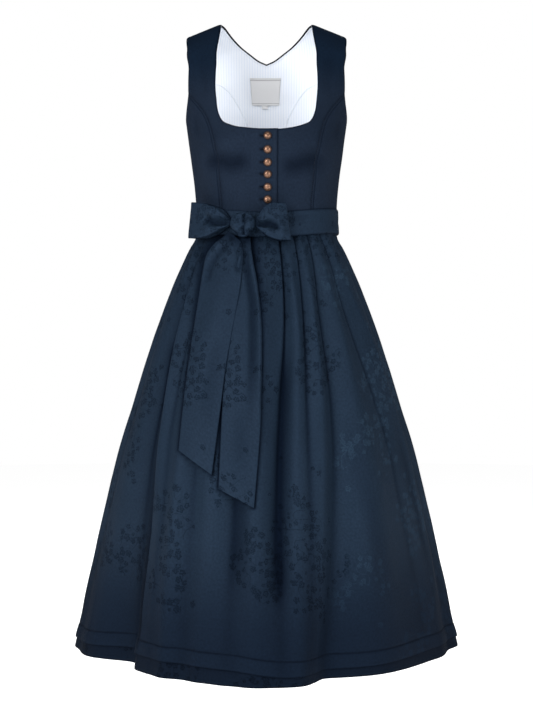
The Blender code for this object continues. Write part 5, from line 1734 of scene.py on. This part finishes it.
def material_once(name, look, *values):
    """A material by name, given its look the first time it is asked for."""
    material = bpy.data.materials.get(name)
    if not material:
        material = bpy.data.materials.new(name)
        material.use_nodes = True
        board = Board(material.node_tree)
        shader = material.node_tree.nodes["Principled BSDF"]
        board.fill(shader.inputs, look(board, *values))
    return material


def scaled(colour, share=1.0):
    """Colour made lighter or darker, with full alpha."""
    return (*(part * share for part in colour), 1.0)


def shine(gloss, tint=WHITE):
    """Mirror shine of a cloth and its tint."""
    return {"Specular IOR Level": gloss, "Specular Tint": scaled(tint)}


def flecked(board, place, colour, weave, cloth):
    """Colour of dyed cloth: slightly cloudy and grainy, and flecked by its weave."""
    flecks = board.mix(weave["Speckle"], scaled(colour, cloth.dark), scaled(colour, cloth.light))
    cloud = board.range(board.noise(place, cloth.cloud_scale, 3.0), *MIDDLE_SPAN, smooth=False)
    grain = board.noise(place, GRAIN_SCALE)
    grain = board.range(grain, *MIDDLE_SPAN, -GRAIN_SPREAD, GRAIN_SPREAD, smooth=False)
    cloudy = board.mix(cloud + grain / (2 * cloth.spread), scaled(colour, 1 - cloth.spread),
        scaled(colour, 1 + cloth.spread), clamp_factor=False)
    return board.mix(cloth.fleck_share, cloudy, flecks)


def shaded(board, colour, rough, shade, low, high):
    """Colour and roughness, darker and duller with painted shade in hollows and past a height."""
    # Painted shade past a height, on the straps and towards the hem, and in the hollows that each
    # mesh marks
    past = board.range(board.parts(board.on_object())[2], low, high)
    hollow = board.node("Attribute", attribute_name=HOLLOW_ATTRIBUTE)["Fac"]
    colour = board.mix(past, colour, scaled(shade), blend_type="MULTIPLY")
    colour = board.mix(hollow, colour, scaled(HOLLOW_SHADE), blend_type="MULTIPLY")
    # Cloth seen along its face does not mirror the lights
    aslant = board.node("LayerWeight", {"Blend": 0.5})["Facing"]
    aslant = board.range(aslant, *RIM_FACING, 0.0, RIM_ROUGHNESS)
    dull = (hollow | past * SHADE_DULLNESS) * HOLLOW_DULLNESS
    return {"Base Color": colour, "Roughness": dull + rough + aslant}


def bump(board, height, distance, strength):
    """Bent normal, from a height in steps of a distance."""
    values = {"Strength": strength, "Distance": distance, "Height": height}
    return {"Normal": board.node("Bump", values)}


def twill_look(board, looks):
    """Dark, almost plain cloth of the bodice."""
    place, dye = board.on_cut(), looks.bodice_colour
    weave = board.group("Fine weave", {"Place": place})
    colour = flecked(board, place, dye, weave, TWILL)
    rough = board.range(weave["Speckle"], 0.0, 1.0, *TWILL_ROUGHNESS)
    cloth = shaded(board, colour, rough, STRAP_SHADE, *STRAP_SHADE_SPAN)
    return cloth | shine(looks.bodice_gloss, GLOSS_TINT) | bump(board, weave, *TWILL_BUMP)


def jacquard_look(board, looks, dye, shift):
    """Satin with flower sprays woven in dull yarn, seen by their duller sheen and by painted light
    and shade.
    """
    place = board.vector("ADD", board.on_cut(), shift)
    motif = board.group("Flower sprays", {"Place": place})
    weave = board.group("Fine weave", {"Place": place, "Pitch": SATIN_PITCH, "Slant": SATIN_SLANT})
    ground = flecked(board, place, dye, weave, SATIN)
    # Painted light and shade: the sprays are painted dark over the middle and the wearer's right,
    # and light on the wearer's left, with a wandering border
    spot = board.on_object()
    patch = board.noise(spot, MOTIF_PAINTED_LIGHT_SCALE, 0.0) - 0.5
    across = board.parts(spot)[0] + patch * MOTIF_PAINTED_LIGHT_WANDER
    light = board.range(across, *MOTIF_PAINTED_LIGHT_SPAN)
    woven = board.mix(light, scaled(looks.motif_in_painted_shade), scaled(looks.motif_in_painted_light))
    rough = board.range(motif, 0.0, 1.0, looks.satin_roughness, MOTIF_ROUGHNESS)
    colour = board.mix(motif, ground, woven)
    cloth = shaded(board, colour, rough, HEM_SHADE, *HEM_SHADE_SPAN)
    relief = bump(board, weave - motif * MOTIF_SINK, *SATIN_BUMP)
    return cloth | shine(looks.skirt_gloss, GLOSS_TINT) | relief


def lining_look(board, looks):
    """White cotton with narrow pale-blue stripes down it."""
    place = board.on_cut()
    weave = board.group("Fine weave", {"Place": place, "Pitch": LINEN_PITCH})
    wander = board.noise(board.vector("MULTIPLY", place, (0.0, 1.0, 0.0)), STRIPE_WANDER_SCALE)
    across = board.parts(place)[0] + wander * STRIPE_WANDER
    step = (across / STRIPE_PITCH).result("FRACT")
    stripe = board.range(abs(step - 0.5), *STRIPE_EDGE)
    stripe = stripe * board.range(weave["Speckle"], 0.0, 1.0, STRIPE_FLECK, 1.0)
    colour = board.mix(stripe, scaled(looks.lining_colour), scaled(looks.stripe_colour))
    return {"Base Color": colour, "Roughness": 0.85} | shine(0.15) | bump(board, weave, *LINEN_BUMP)


def label_look(board, looks):
    """Woven white label, ribbed, with a grey band near its top and bottom."""
    place, white = board.on_cut(), looks.label_colour
    height = board.parts(place)[1]
    ribs = (height * (2 * math.pi / RIB_PITCH)).result("SINE")
    band = board.range(abs(abs(height) - LABEL_BAND_AT), *LABEL_BAND_EDGE)
    grain = board.noise(place, LABEL_GRAIN_SCALE)
    cloth = board.mix(grain, scaled(white, 0.93), scaled(white, 1.05))
    colour = board.mix(band * 0.6, cloth, scaled(white, 0.35))
    return {"Base Color": colour, "Roughness": 0.6} | shine(0.3) | bump(board, ribs, *LABEL_BUMP)


def copper_look(board, looks):
    """Antique copper, stained, and darker towards each button's rim with patina and painted shade,
    bright over its dome's middle.
    """
    spot = board.on_object()
    stain = board.noise(spot, STAIN_SCALE, 4.0).fed({"Roughness": 0.6})
    pits = board.node("TexVoronoi", {"Vector": spot, "Scale": PIT_SCALE})
    # Darker towards the rim: patina, and painted shade of the dome's sloping sides
    hollow = board.range(board.vector("LENGTH", board.on_cut())["Value"], *BUTTON_RIM_PATINA_AND_SHADE_SPAN)
    dark = hollow | board.range(stain, *STAIN_SPAN, 0.0, STAIN_DARKNESS)
    colour = board.mix(dark, scaled(looks.copper_colour), scaled(looks.patina_and_shade_colour))
    metal = board.range(dark, 0.0, 1.0, *COPPER_METAL)
    rough = board.range(dark, 0.0, 1.0, *COPPER_ROUGHNESS)
    return {"Base Color": colour, "Metallic": metal, "Roughness": rough,
        "Specular IOR Level": 0.4} | bump(board, pits, *COPPER_BUMP)


def thread_look(board, dye):
    """Sewing thread, twisted."""
    twist = board.noise(board.on_object(), THREAD_TWIST_SCALE, 1.0)
    return {"Base Color": board.mix(twist, scaled(dye, 0.7), scaled(dye, 1.3)),
        "Roughness": 0.5, "Specular IOR Level": 0.25}


def floor_look(board, looks):
    """Plain pale floor."""
    cloud = board.noise(board.on_object(), FLOOR_CLOUD_SCALE)
    tint = board.mix(cloud, scaled(looks.floor_colour, 0.99), scaled(looks.floor_colour))
    return {"Base Color": tint, "Roughness": 0.9, "Specular IOR Level": 0.0,
        "Emission Color": scaled(WHITE), "Emission Strength": looks.floor_glow}


def stitch_tree():
    """Geometry nodes that lay small rounded stitches along the edges of a mesh."""
    board, given, results = new_group("Row of stitches", "GeometryNodeTree", {
        "Geometry": ("Geometry", None), "Spacing": ("Float", 0.0032), "Length": ("Float", 0.0022),
        "Thickness": ("Float", 0.0006), "Seed": ("Int", 1), "Thread": ("Material", None)},
        {"Geometry": ("Geometry", None)})
    line = board.node("GeometryNodeMeshToCurve", {"Mesh": given})
    even = board.node("GeometryNodeResampleCurve", {"Curve": line, "Length": given["Spacing"]},
        mode="LENGTH")
    bead = board.node("GeometryNodeMeshUVSphere", {"Segments": 6, "Rings": 4, "Radius": 0.5})
    size = board.node("CombineXYZ", (given["Length"], given["Thickness"], given["Thickness"]))
    stitch = board.node("GeometryNodeTransform", {"Geometry": bead, "Scale": size})
    stray = board.node("FunctionNodeRandomValue", {"Min": (-STITCH_STRAY,) * 3,
        "Max": (STITCH_STRAY,) * 3, "Seed": given["Seed"]}, data_type="FLOAT_VECTOR")
    heading = board.vector("ADD", board.node("GeometryNodeInputTangent"), stray)
    along = board.node("FunctionNodeAlignRotationToVector", {"Vector": heading}, axis="X")
    out = board.node("GeometryNodeInputNamedAttribute", {"Name": OUT_ATTRIBUTE},
        data_type="FLOAT_VECTOR")
    turned = board.node("FunctionNodeAlignRotationToVector", {"Rotation": along, "Vector": out},
        axis="Z", pivot_axis="X")
    placed = board.node("GeometryNodeInstanceOnPoints", {"Points": even, "Instance": stitch,
        "Rotation": turned})
    real = board.node("GeometryNodeRealizeInstances", {"Geometry": placed})
    shown = {"Geometry": real, "Material": given["Thread"]}
    board.fill(results, {"Geometry": board.node("GeometryNodeSetMaterial", shown)})


def add_stitches(name, lines, look, thread):
    """One object of stitches along lines of points and outward directions in millimetres."""
    points, outs, edges = [], [], []
    for line, out in lines:
        edges += [(i - 1, i) for i in range(len(points) + 1, len(points) + len(line))]
        points += (np.asarray(line) * METRE).tolist()
        outs.append(np.asarray(out, float))
    mesh = bpy.data.meshes.new(name)
    mesh.from_pydata(points, edges, [])
    outward = mesh.attributes.new(OUT_ATTRIBUTE, "FLOAT_VECTOR", "POINT")
    outward.data.foreach_set("vector", np.concatenate(outs).astype(np.float32).ravel())
    built = add_object(name, mesh)
    tree = bpy.data.node_groups["Row of stitches"]
    values = {"Spacing": look.spacing, "Length": look.length, "Thickness": look.thickness,
        "Seed": look.seed, "Thread": thread}
    modifier = built.modifiers.new("Stitches", "NODES")
    modifier.node_group = tree
    for socket in tree.interface.items_tree:
        if socket.item_type == "SOCKET" and socket.in_out == "INPUT" and socket.name in values:
            modifier[socket.identifier] = values[socket.name]
    sewn = built.evaluated_get(bpy.context.evaluated_depsgraph_get())
    shown = bpy.data.meshes.new_from_object(sewn)
    built.modifiers.clear()
    built.data = shown
    shown.name = name
    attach(built, BODY)
    return built


def resampled(line, spacing):
    """Points at even spacing along a flat line."""
    line = np.asarray(line, float)
    along = lengths_along(line)
    places = np.linspace(0, along[-1], max(2, round(along[-1] / spacing)))
    return stacked(*(np.interp(places, along, part) for part in line.T))


def beside(line, inset):
    """A flat line moved sideways, to the left of its direction."""
    line = resampled(line, SEAM_POINT_SPACING)
    run = unit(np.gradient(line, axis=0))
    return line + stacked(-run[:, 1], run[:, 0]) * inset


def on_body(line, raised, creases):
    """Points and outward directions along a flat line of stitching on the bodice."""
    u, v = line.T
    return seated(bodice, u, v, raised(u, v) + body_offset(u, v, creases) + STITCH_SEAT)


def bodice_stitch_lines():
    """Topstitching beside the shaping seams and down the closure's edge."""
    lines = []
    for _, left in SIDES:
        edges = front_edges(left)
        # The seam runs down from the armhole, so the middle lies to its left on the wearer's right
        side = STITCH_INSET if left else -STITCH_INSET
        rows = [(edges["princess"], -side, not_raised if left else lap, FRONT_CREASES),
            (edges["closure"], -STITCH_INSET, lap, FRONT_CREASES),
            (back_edges(left)["princess"], side, not_raised, BACK_CREASES)]
        if left:
            del rows[1]
        lines += [on_body(beside(line, inset)[1:-1], raised, creases)
            for line, inset, raised, creases in rows]
    return lines


def buttonhole_lines():
    """Closed narrow ovals of stitches beside each button, towards the closure's open edge."""
    lines = []
    turns = np.linspace(0, 2 * math.pi, BUTTONHOLE_POINTS)
    for seat, across, up, out in button_seats():
        middle = seat + across * BUTTONHOLE_MIDDLE
        ring = middle + across * np.cos(turns)[:, None] * BUTTONHOLE_HALF[0]
        ring = ring + up * np.sin(turns)[:, None] * BUTTONHOLE_HALF[1] + out * BUTTONHOLE_RISE
        lines.append((ring, np.repeat(out[None, :], len(ring), axis=0)))
    return lines


def hem_line(first, last, rise, above, stand_off):
    """Points and outward directions along a hem's stitching between two fold lines."""
    arcs, heights = fold_grid(first, last, 8, np.linspace(0, 1, 3), rise)
    return seated(skirt_cloth(stand_off + STITCH_SEAT), arcs[-1], heights[-1] + above)


def apron_side_line(column, turn):
    """Points and outward directions down the stitching beside one side edge of the apron."""
    rows = np.linspace(0, 1, APRON_SIDE_ROWS)
    arcs, heights = fold_grid(-1, SIDE_LINE + 1, 2, rows, APRON_RISE)
    arc = arcs[:, column] + turn * STITCH_INSET / APRON_SIDE_REACH
    points, out = seated(skirt_cloth(APRON_OUT + STITCH_SEAT), arc, heights[:, column])
    return points[APRON_SIDE_SEWN], out[APRON_SIDE_SEWN]


def label_stitch_lines():
    """Stitching round the label, just inside its edge."""
    corners = np.array([(-1, 1), (1, 1), (1, -1), (-1, -1), (-1, 1)]) * LABEL_STITCH_SHARE
    sides = [np.linspace(*ends, LABEL_SIDE_POINTS) for ends in zip(corners, corners[1:])]
    across, up = np.concatenate(sides).T
    u, v = label_place(LABEL_CENTRE, LABEL_SIZE, across, up)
    points, out = seated(bodice, u, v, -LABEL_DEPTH - LABEL_FOLD - LABEL_WAVE)
    return [(points, -out)]


def setting(kind, name, value, what, **limits):
    """Setting of the add-on."""
    return kind(name=name, default=value, description=what, **limits)


colour = partial(setting, FloatVectorProperty, subtype="COLOR")
fraction = partial(setting, FloatProperty, min=0.0, max=1.0, subtype="FACTOR")
distance = partial(setting, FloatProperty, subtype="DISTANCE", unit="LENGTH")
power = partial(setting, FloatProperty, min=0.0, unit="POWER")
brightness = partial(setting, FloatProperty, min=0.0)


class DirndlClothLooks(bpy.types.PropertyGroup):
    """Colours and gloss of the dress's materials."""

    bodice_colour: colour("Bodice", (0.0064, 0.0108, 0.0200), "Colour of the bodice's twill")
    skirt_colour: colour("Skirt", (0.0075, 0.0146, 0.0262), "Ground colour of the skirt")
    apron_colour: colour("Apron", (0.0075, 0.0146, 0.0262), "Ground colour of the apron")
    # Colours of the sprays in painted shade and in painted light
    motif_in_painted_shade: colour("Dark flowers", (0.0026, 0.0056, 0.0108), "Flowers that lie dull and dark")
    motif_in_painted_light: colour("Light flowers", (0.0140, 0.0275, 0.0460), "Flowers that catch the light")
    tie_colour: colour("Tie", (0.0074, 0.0142, 0.0255), "Colour of the belt and bow")
    lining_colour: colour("Lining", (0.70, 0.73, 0.78), "White of the lining")
    stripe_colour: colour("Stripe", (0.60, 0.655, 0.745), "Pale blue of the lining's stripes")
    label_colour: colour("Label", (0.575, 0.575, 0.58), "Colour of the label")
    copper_colour: colour("Copper", (0.20, 0.112, 0.074), "Worn colour of the buttons")
    # Dark colour of the copper: patina, and painted shade towards the buttons' rims
    patina_and_shade_colour: colour("Patina", (0.030, 0.013, 0.008), "Dark colour in the buttons' hollows")
    thread_colour: colour("Thread", (0.004, 0.008, 0.017), "Colour of the sewing thread")
    floor_colour: colour("Floor", (0.92, 0.92, 0.92), "Colour of the floor")
    floor_glow: brightness("Floor glow", 0.62, "Light that the floor adds of its own")
    bodice_gloss: fraction("Bodice gloss", 0.08, "Mirror shine of the bodice")
    skirt_gloss: fraction("Satin gloss", 0.1, "Mirror shine of the satin")
    satin_roughness: fraction("Satin roughness", 0.55, "Roughness of the satin")


class DirndlStitchLooks(bpy.types.PropertyGroup):
    """Sizes of the stitches."""

    spacing: distance("Spacing", 0.0032, "From one stitch to the next", min=0.001)
    length: distance("Length", 0.0023, "Length of a stitch", min=0.0005)
    thickness: distance("Thickness", 0.0006, "Thickness of the thread", min=0.0001)
    seed: setting(IntProperty, "Seed", 7, "Seed of the stitches' unevenness", min=0)


class DirndlStudio(bpy.types.PropertyGroup):
    """Lights and camera."""

    room_light: brightness("Room light", 0.38, "Light that the surroundings give")
    backdrop: brightness("Backdrop", 1.0, "Brightness of the white seen behind")
    key_power: power("Key light", 98.0, "Power of the soft light from the left")
    fill_power: power("Fill light", 44.0, "Power of the soft light from the right")
    top_power: power("Top light", 17.0, "Power of the soft light above")
    back_power: power("Back light", 75.0, "Power of the soft light behind")
    lens: setting(FloatProperty, "Lens", 68.6, "Focal length in mm", min=10.0)
    camera_distance: distance("Camera distance", 2.48, "From camera to the dress's axis", min=0.5)


class DirndlOperator:
    """What the dress's operators share."""

    bl_options = {"REGISTER"}

    @classmethod
    def poll(cls, context):
        """The frame's body has to be in the scene."""
        return bool(frame["bodies"])


class DIRNDL_OT_bodice(DirndlOperator, bpy.types.Operator):
    """Cut and shape the bodice's seven panels"""

    bl_idname = "dirndl.bodice"
    bl_label = "Bodice"

    def execute(self, context):
        """Build the front and back panels."""
        looks = context.scene.dirndl_cloth
        twill = material_once("Bodice twill", twill_look, looks)
        lining = material_once("Striped lining", lining_look, looks)
        make_fronts([twill, lining])
        make_backs("Bodice", 0.0, BODICE_WALL, SEAM_GAP / 2, BACK_CREASES, True, [twill])
        return {"FINISHED"}


class DIRNDL_OT_lining(DirndlOperator, bpy.types.Operator):
    """Line the back and sew the label on it"""

    bl_idname = "dirndl.lining"
    bl_label = "Lining and label"

    def execute(self, context):
        """Build the lining's panels, the label and the small tab under it."""
        looks = context.scene.dirndl_cloth
        lining = material_once("Striped lining", lining_look, looks)
        label = material_once("Label ribbon", label_look, looks)
        make_backs("Lining", BODICE_WALL + LINING_GAP, LINING_WALL, NECK_EDGE_TURN, (), False,
            [lining])
        tab = make_label("Size_tab", TAB_CENTRE, TAB_SIZE, label)
        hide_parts("size_tab")
        declare(make_label("Label", LABEL_CENTRE, LABEL_SIZE, label))
        return {"FINISHED"}


class DIRNDL_OT_buttons(DirndlOperator, bpy.types.Operator):
    """Set the copper buttons down the closure"""

    bl_idname = "dirndl.buttons"
    bl_label = "Buttons"

    def execute(self, context):
        """Build the six buttons."""
        make_buttons(material_once("Antique copper", copper_look, context.scene.dirndl_cloth))
        return {"FINISHED"}


class DIRNDL_OT_skirt(DirndlOperator, bpy.types.Operator):
    """Hang the gathered skirt and the apron over it"""

    bl_idname = "dirndl.skirt"
    bl_label = "Skirt and apron"

    def execute(self, context):
        """Build the skirt's front and back and the apron."""
        looks = context.scene.dirndl_cloth
        make_skirt(material_once("Skirt jacquard", jacquard_look, looks, looks.skirt_colour,
            SKIRT_SHIFT))
        make_apron(material_once("Apron jacquard", jacquard_look, looks, looks.apron_colour,
            APRON_SHIFT))
        return {"FINISHED"}


class DIRNDL_OT_bow(DirndlOperator, bpy.types.Operator):
    """Tie the belt with its bow and hanging ends"""

    bl_idname = "dirndl.bow"
    bl_label = "Belt and bow"

    def execute(self, context):
        """Build the belt, knot, loops and tails."""
        looks = context.scene.dirndl_cloth
        satin = material_once("Tie jacquard", jacquard_look, looks, looks.tie_colour, TIE_SHIFT)
        make_belt(satin)
        make_knot(satin)
        for loop in LOOPS:
            make_loop(satin, *loop)
        for tail in TAILS:
            make_tail(satin, *tail)
        return {"FINISHED"}


class DIRNDL_OT_stitches(DirndlOperator, bpy.types.Operator):
    """Sew the topstitching, hems, buttonholes and label"""

    bl_idname = "dirndl.stitches"
    bl_label = "Stitches"

    def execute(self, context):
        """Build every row of stitches."""
        looks, sizes = context.scene.dirndl_cloth, context.scene.dirndl_stitches
        dark = material_once("Navy thread", thread_look, looks.thread_colour)
        pale = material_once("White thread", thread_look, looks.label_colour)
        black = material_once("Buttonhole silk", thread_look, BUTTONHOLE_COLOUR)
        skirt = [hem_line(0, len(ALL_FOLDS), None, SKIRT_HEM_DEPTH, 0.0)]
        apron = [hem_line(-1, SIDE_LINE + 1, APRON_RISE, APRON_HEM_DEPTH, APRON_OUT),
            apron_side_line(0, 1), apron_side_line(-1, -1)]
        for name, lines, thread, slot in (
            ("Bodice_stitches", bodice_stitch_lines(), dark, "bodice_cloth"),
            ("Buttonholes", buttonhole_lines(), black, "bodice_cloth"),
            ("Skirt_stitches", skirt, dark, "skirt_cloth"),
            ("Apron_stitches", apron, dark, "apron_cloth"),
            ("Label_stitches", label_stitch_lines(), pale, "label_cloth")):
            add_stitches(name, lines, sizes, thread)
        return {"FINISHED"}


def add_light(name, power, place, size, mirrored):
    """Soft square area light aimed at the dress, seen in shiny cloth or not."""
    light = bpy.data.lights.new(name, "AREA")
    light.shape = "SQUARE"
    light.size = size
    light.energy = power
    built = add_object(name, light)
    built.visible_glossy = mirrored
    built.location = place
    built.rotation_euler = (Vector(LIGHT_AIM) - Vector(place)).to_track_quat("-Z", "Y").to_euler()


class DIRNDL_OT_stage(DirndlOperator, bpy.types.Operator):
    """Set the camera, the lights and the pale floor"""

    bl_idname = "dirndl.stage"
    bl_label = "Stage"

    def execute(self, context):
        """Build the studio round the dress."""
        studio, scene = context.scene.dirndl_studio, context.scene
        lens = bpy.data.cameras.new("Camera")
        lens.sensor_fit = "VERTICAL"
        lens.sensor_height = CAMERA_SENSOR
        lens.lens = studio.lens
        camera = add_object("Camera", lens)
        camera.location = (0.0, -studio.camera_distance, CAMERA_HEIGHT)
        camera.rotation_euler = (math.pi / 2, 0.0, 0.0)
        scene.camera = camera
        world = bpy.data.worlds.new("White room")
        world.use_nodes = True
        board = Board(world.node_tree)
        path = board.node("LightPath")
        gloss = studio.room_light * GLOSS_SHARE
        room = board.range(path["Is Glossy Ray"], 0.0, 1.0, studio.room_light, gloss)
        room = board.range(path["Is Camera Ray"], 0.0, 1.0, room, studio.backdrop)
        background = world.node_tree.nodes["Background"].inputs
        board.fill(background, {"Color": scaled(WHITE), "Strength": room})
        scene.world = world
        scene.view_settings.view_transform = "Standard"
        for name, light in LIGHTS.items():
            add_light(name, getattr(studio, name.lower() + "_power"), *light)
        turns = np.linspace(0, 2 * math.pi, FLOOR_SIDES, endpoint=False)
        rim = round_axis(turns, FLOOR_REACH, FLOOR_HEIGHT)
        mesh = bpy.data.meshes.new("Floor")
        mesh.from_pydata(rim.tolist(), [], [list(range(FLOOR_SIDES))])
        mesh.materials.append(material_once("Pale floor", floor_look, scene.dirndl_cloth))
        add_object("Floor", mesh)
        return {"FINISHED"}


OPERATORS = (DIRNDL_OT_bodice, DIRNDL_OT_lining, DIRNDL_OT_buttons, DIRNDL_OT_skirt,
    DIRNDL_OT_bow, DIRNDL_OT_stitches, DIRNDL_OT_stage)
PROPERTY_GROUPS = {"dirndl_cloth": DirndlClothLooks, "dirndl_stitches": DirndlStitchLooks,
    "dirndl_studio": DirndlStudio}


class DIRNDL_PT_panel(bpy.types.Panel):
    """Buttons that build the dress, and its looks"""

    bl_idname = "DIRNDL_PT_panel"
    bl_label = "Dirndl"
    bl_space_type = "VIEW_3D"
    bl_region_type = "UI"
    bl_category = "Dirndl"

    def draw(self, context):
        """List every operator and property."""
        for operator in OPERATORS:
            self.layout.operator(operator.bl_idname)
        for title, group in PROPERTY_GROUPS.items():
            for name in group.__annotations__:
                self.layout.prop(getattr(context.scene, title), name)


CLASSES = (*PROPERTY_GROUPS.values(), *OPERATORS, DIRNDL_PT_panel)


def register():
    """Add the classes and their scene properties."""
    for part in CLASSES:
        bpy.utils.register_class(part)
    for name, group in PROPERTY_GROUPS.items():
        setattr(bpy.types.Scene, name, PointerProperty(type=group))


def unregister():
    """Take the classes and their scene properties out again."""
    for name in PROPERTY_GROUPS:
        delattr(bpy.types.Scene, name)
    for part in reversed(CLASSES):
        bpy.utils.unregister_class(part)


def main():
    """Register the add-on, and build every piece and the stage."""
    register()
    flower_group()
    weave_group()
    stitch_tree()
    bpy.ops.dirndl.bodice()
    bpy.ops.dirndl.lining()
    bpy.ops.dirndl.buttons()
    bpy.ops.dirndl.skirt()
    bpy.ops.dirndl.bow()
    bpy.ops.dirndl.stitches()
    bpy.ops.dirndl.stage()


if __name__ == "__main__":
    main()
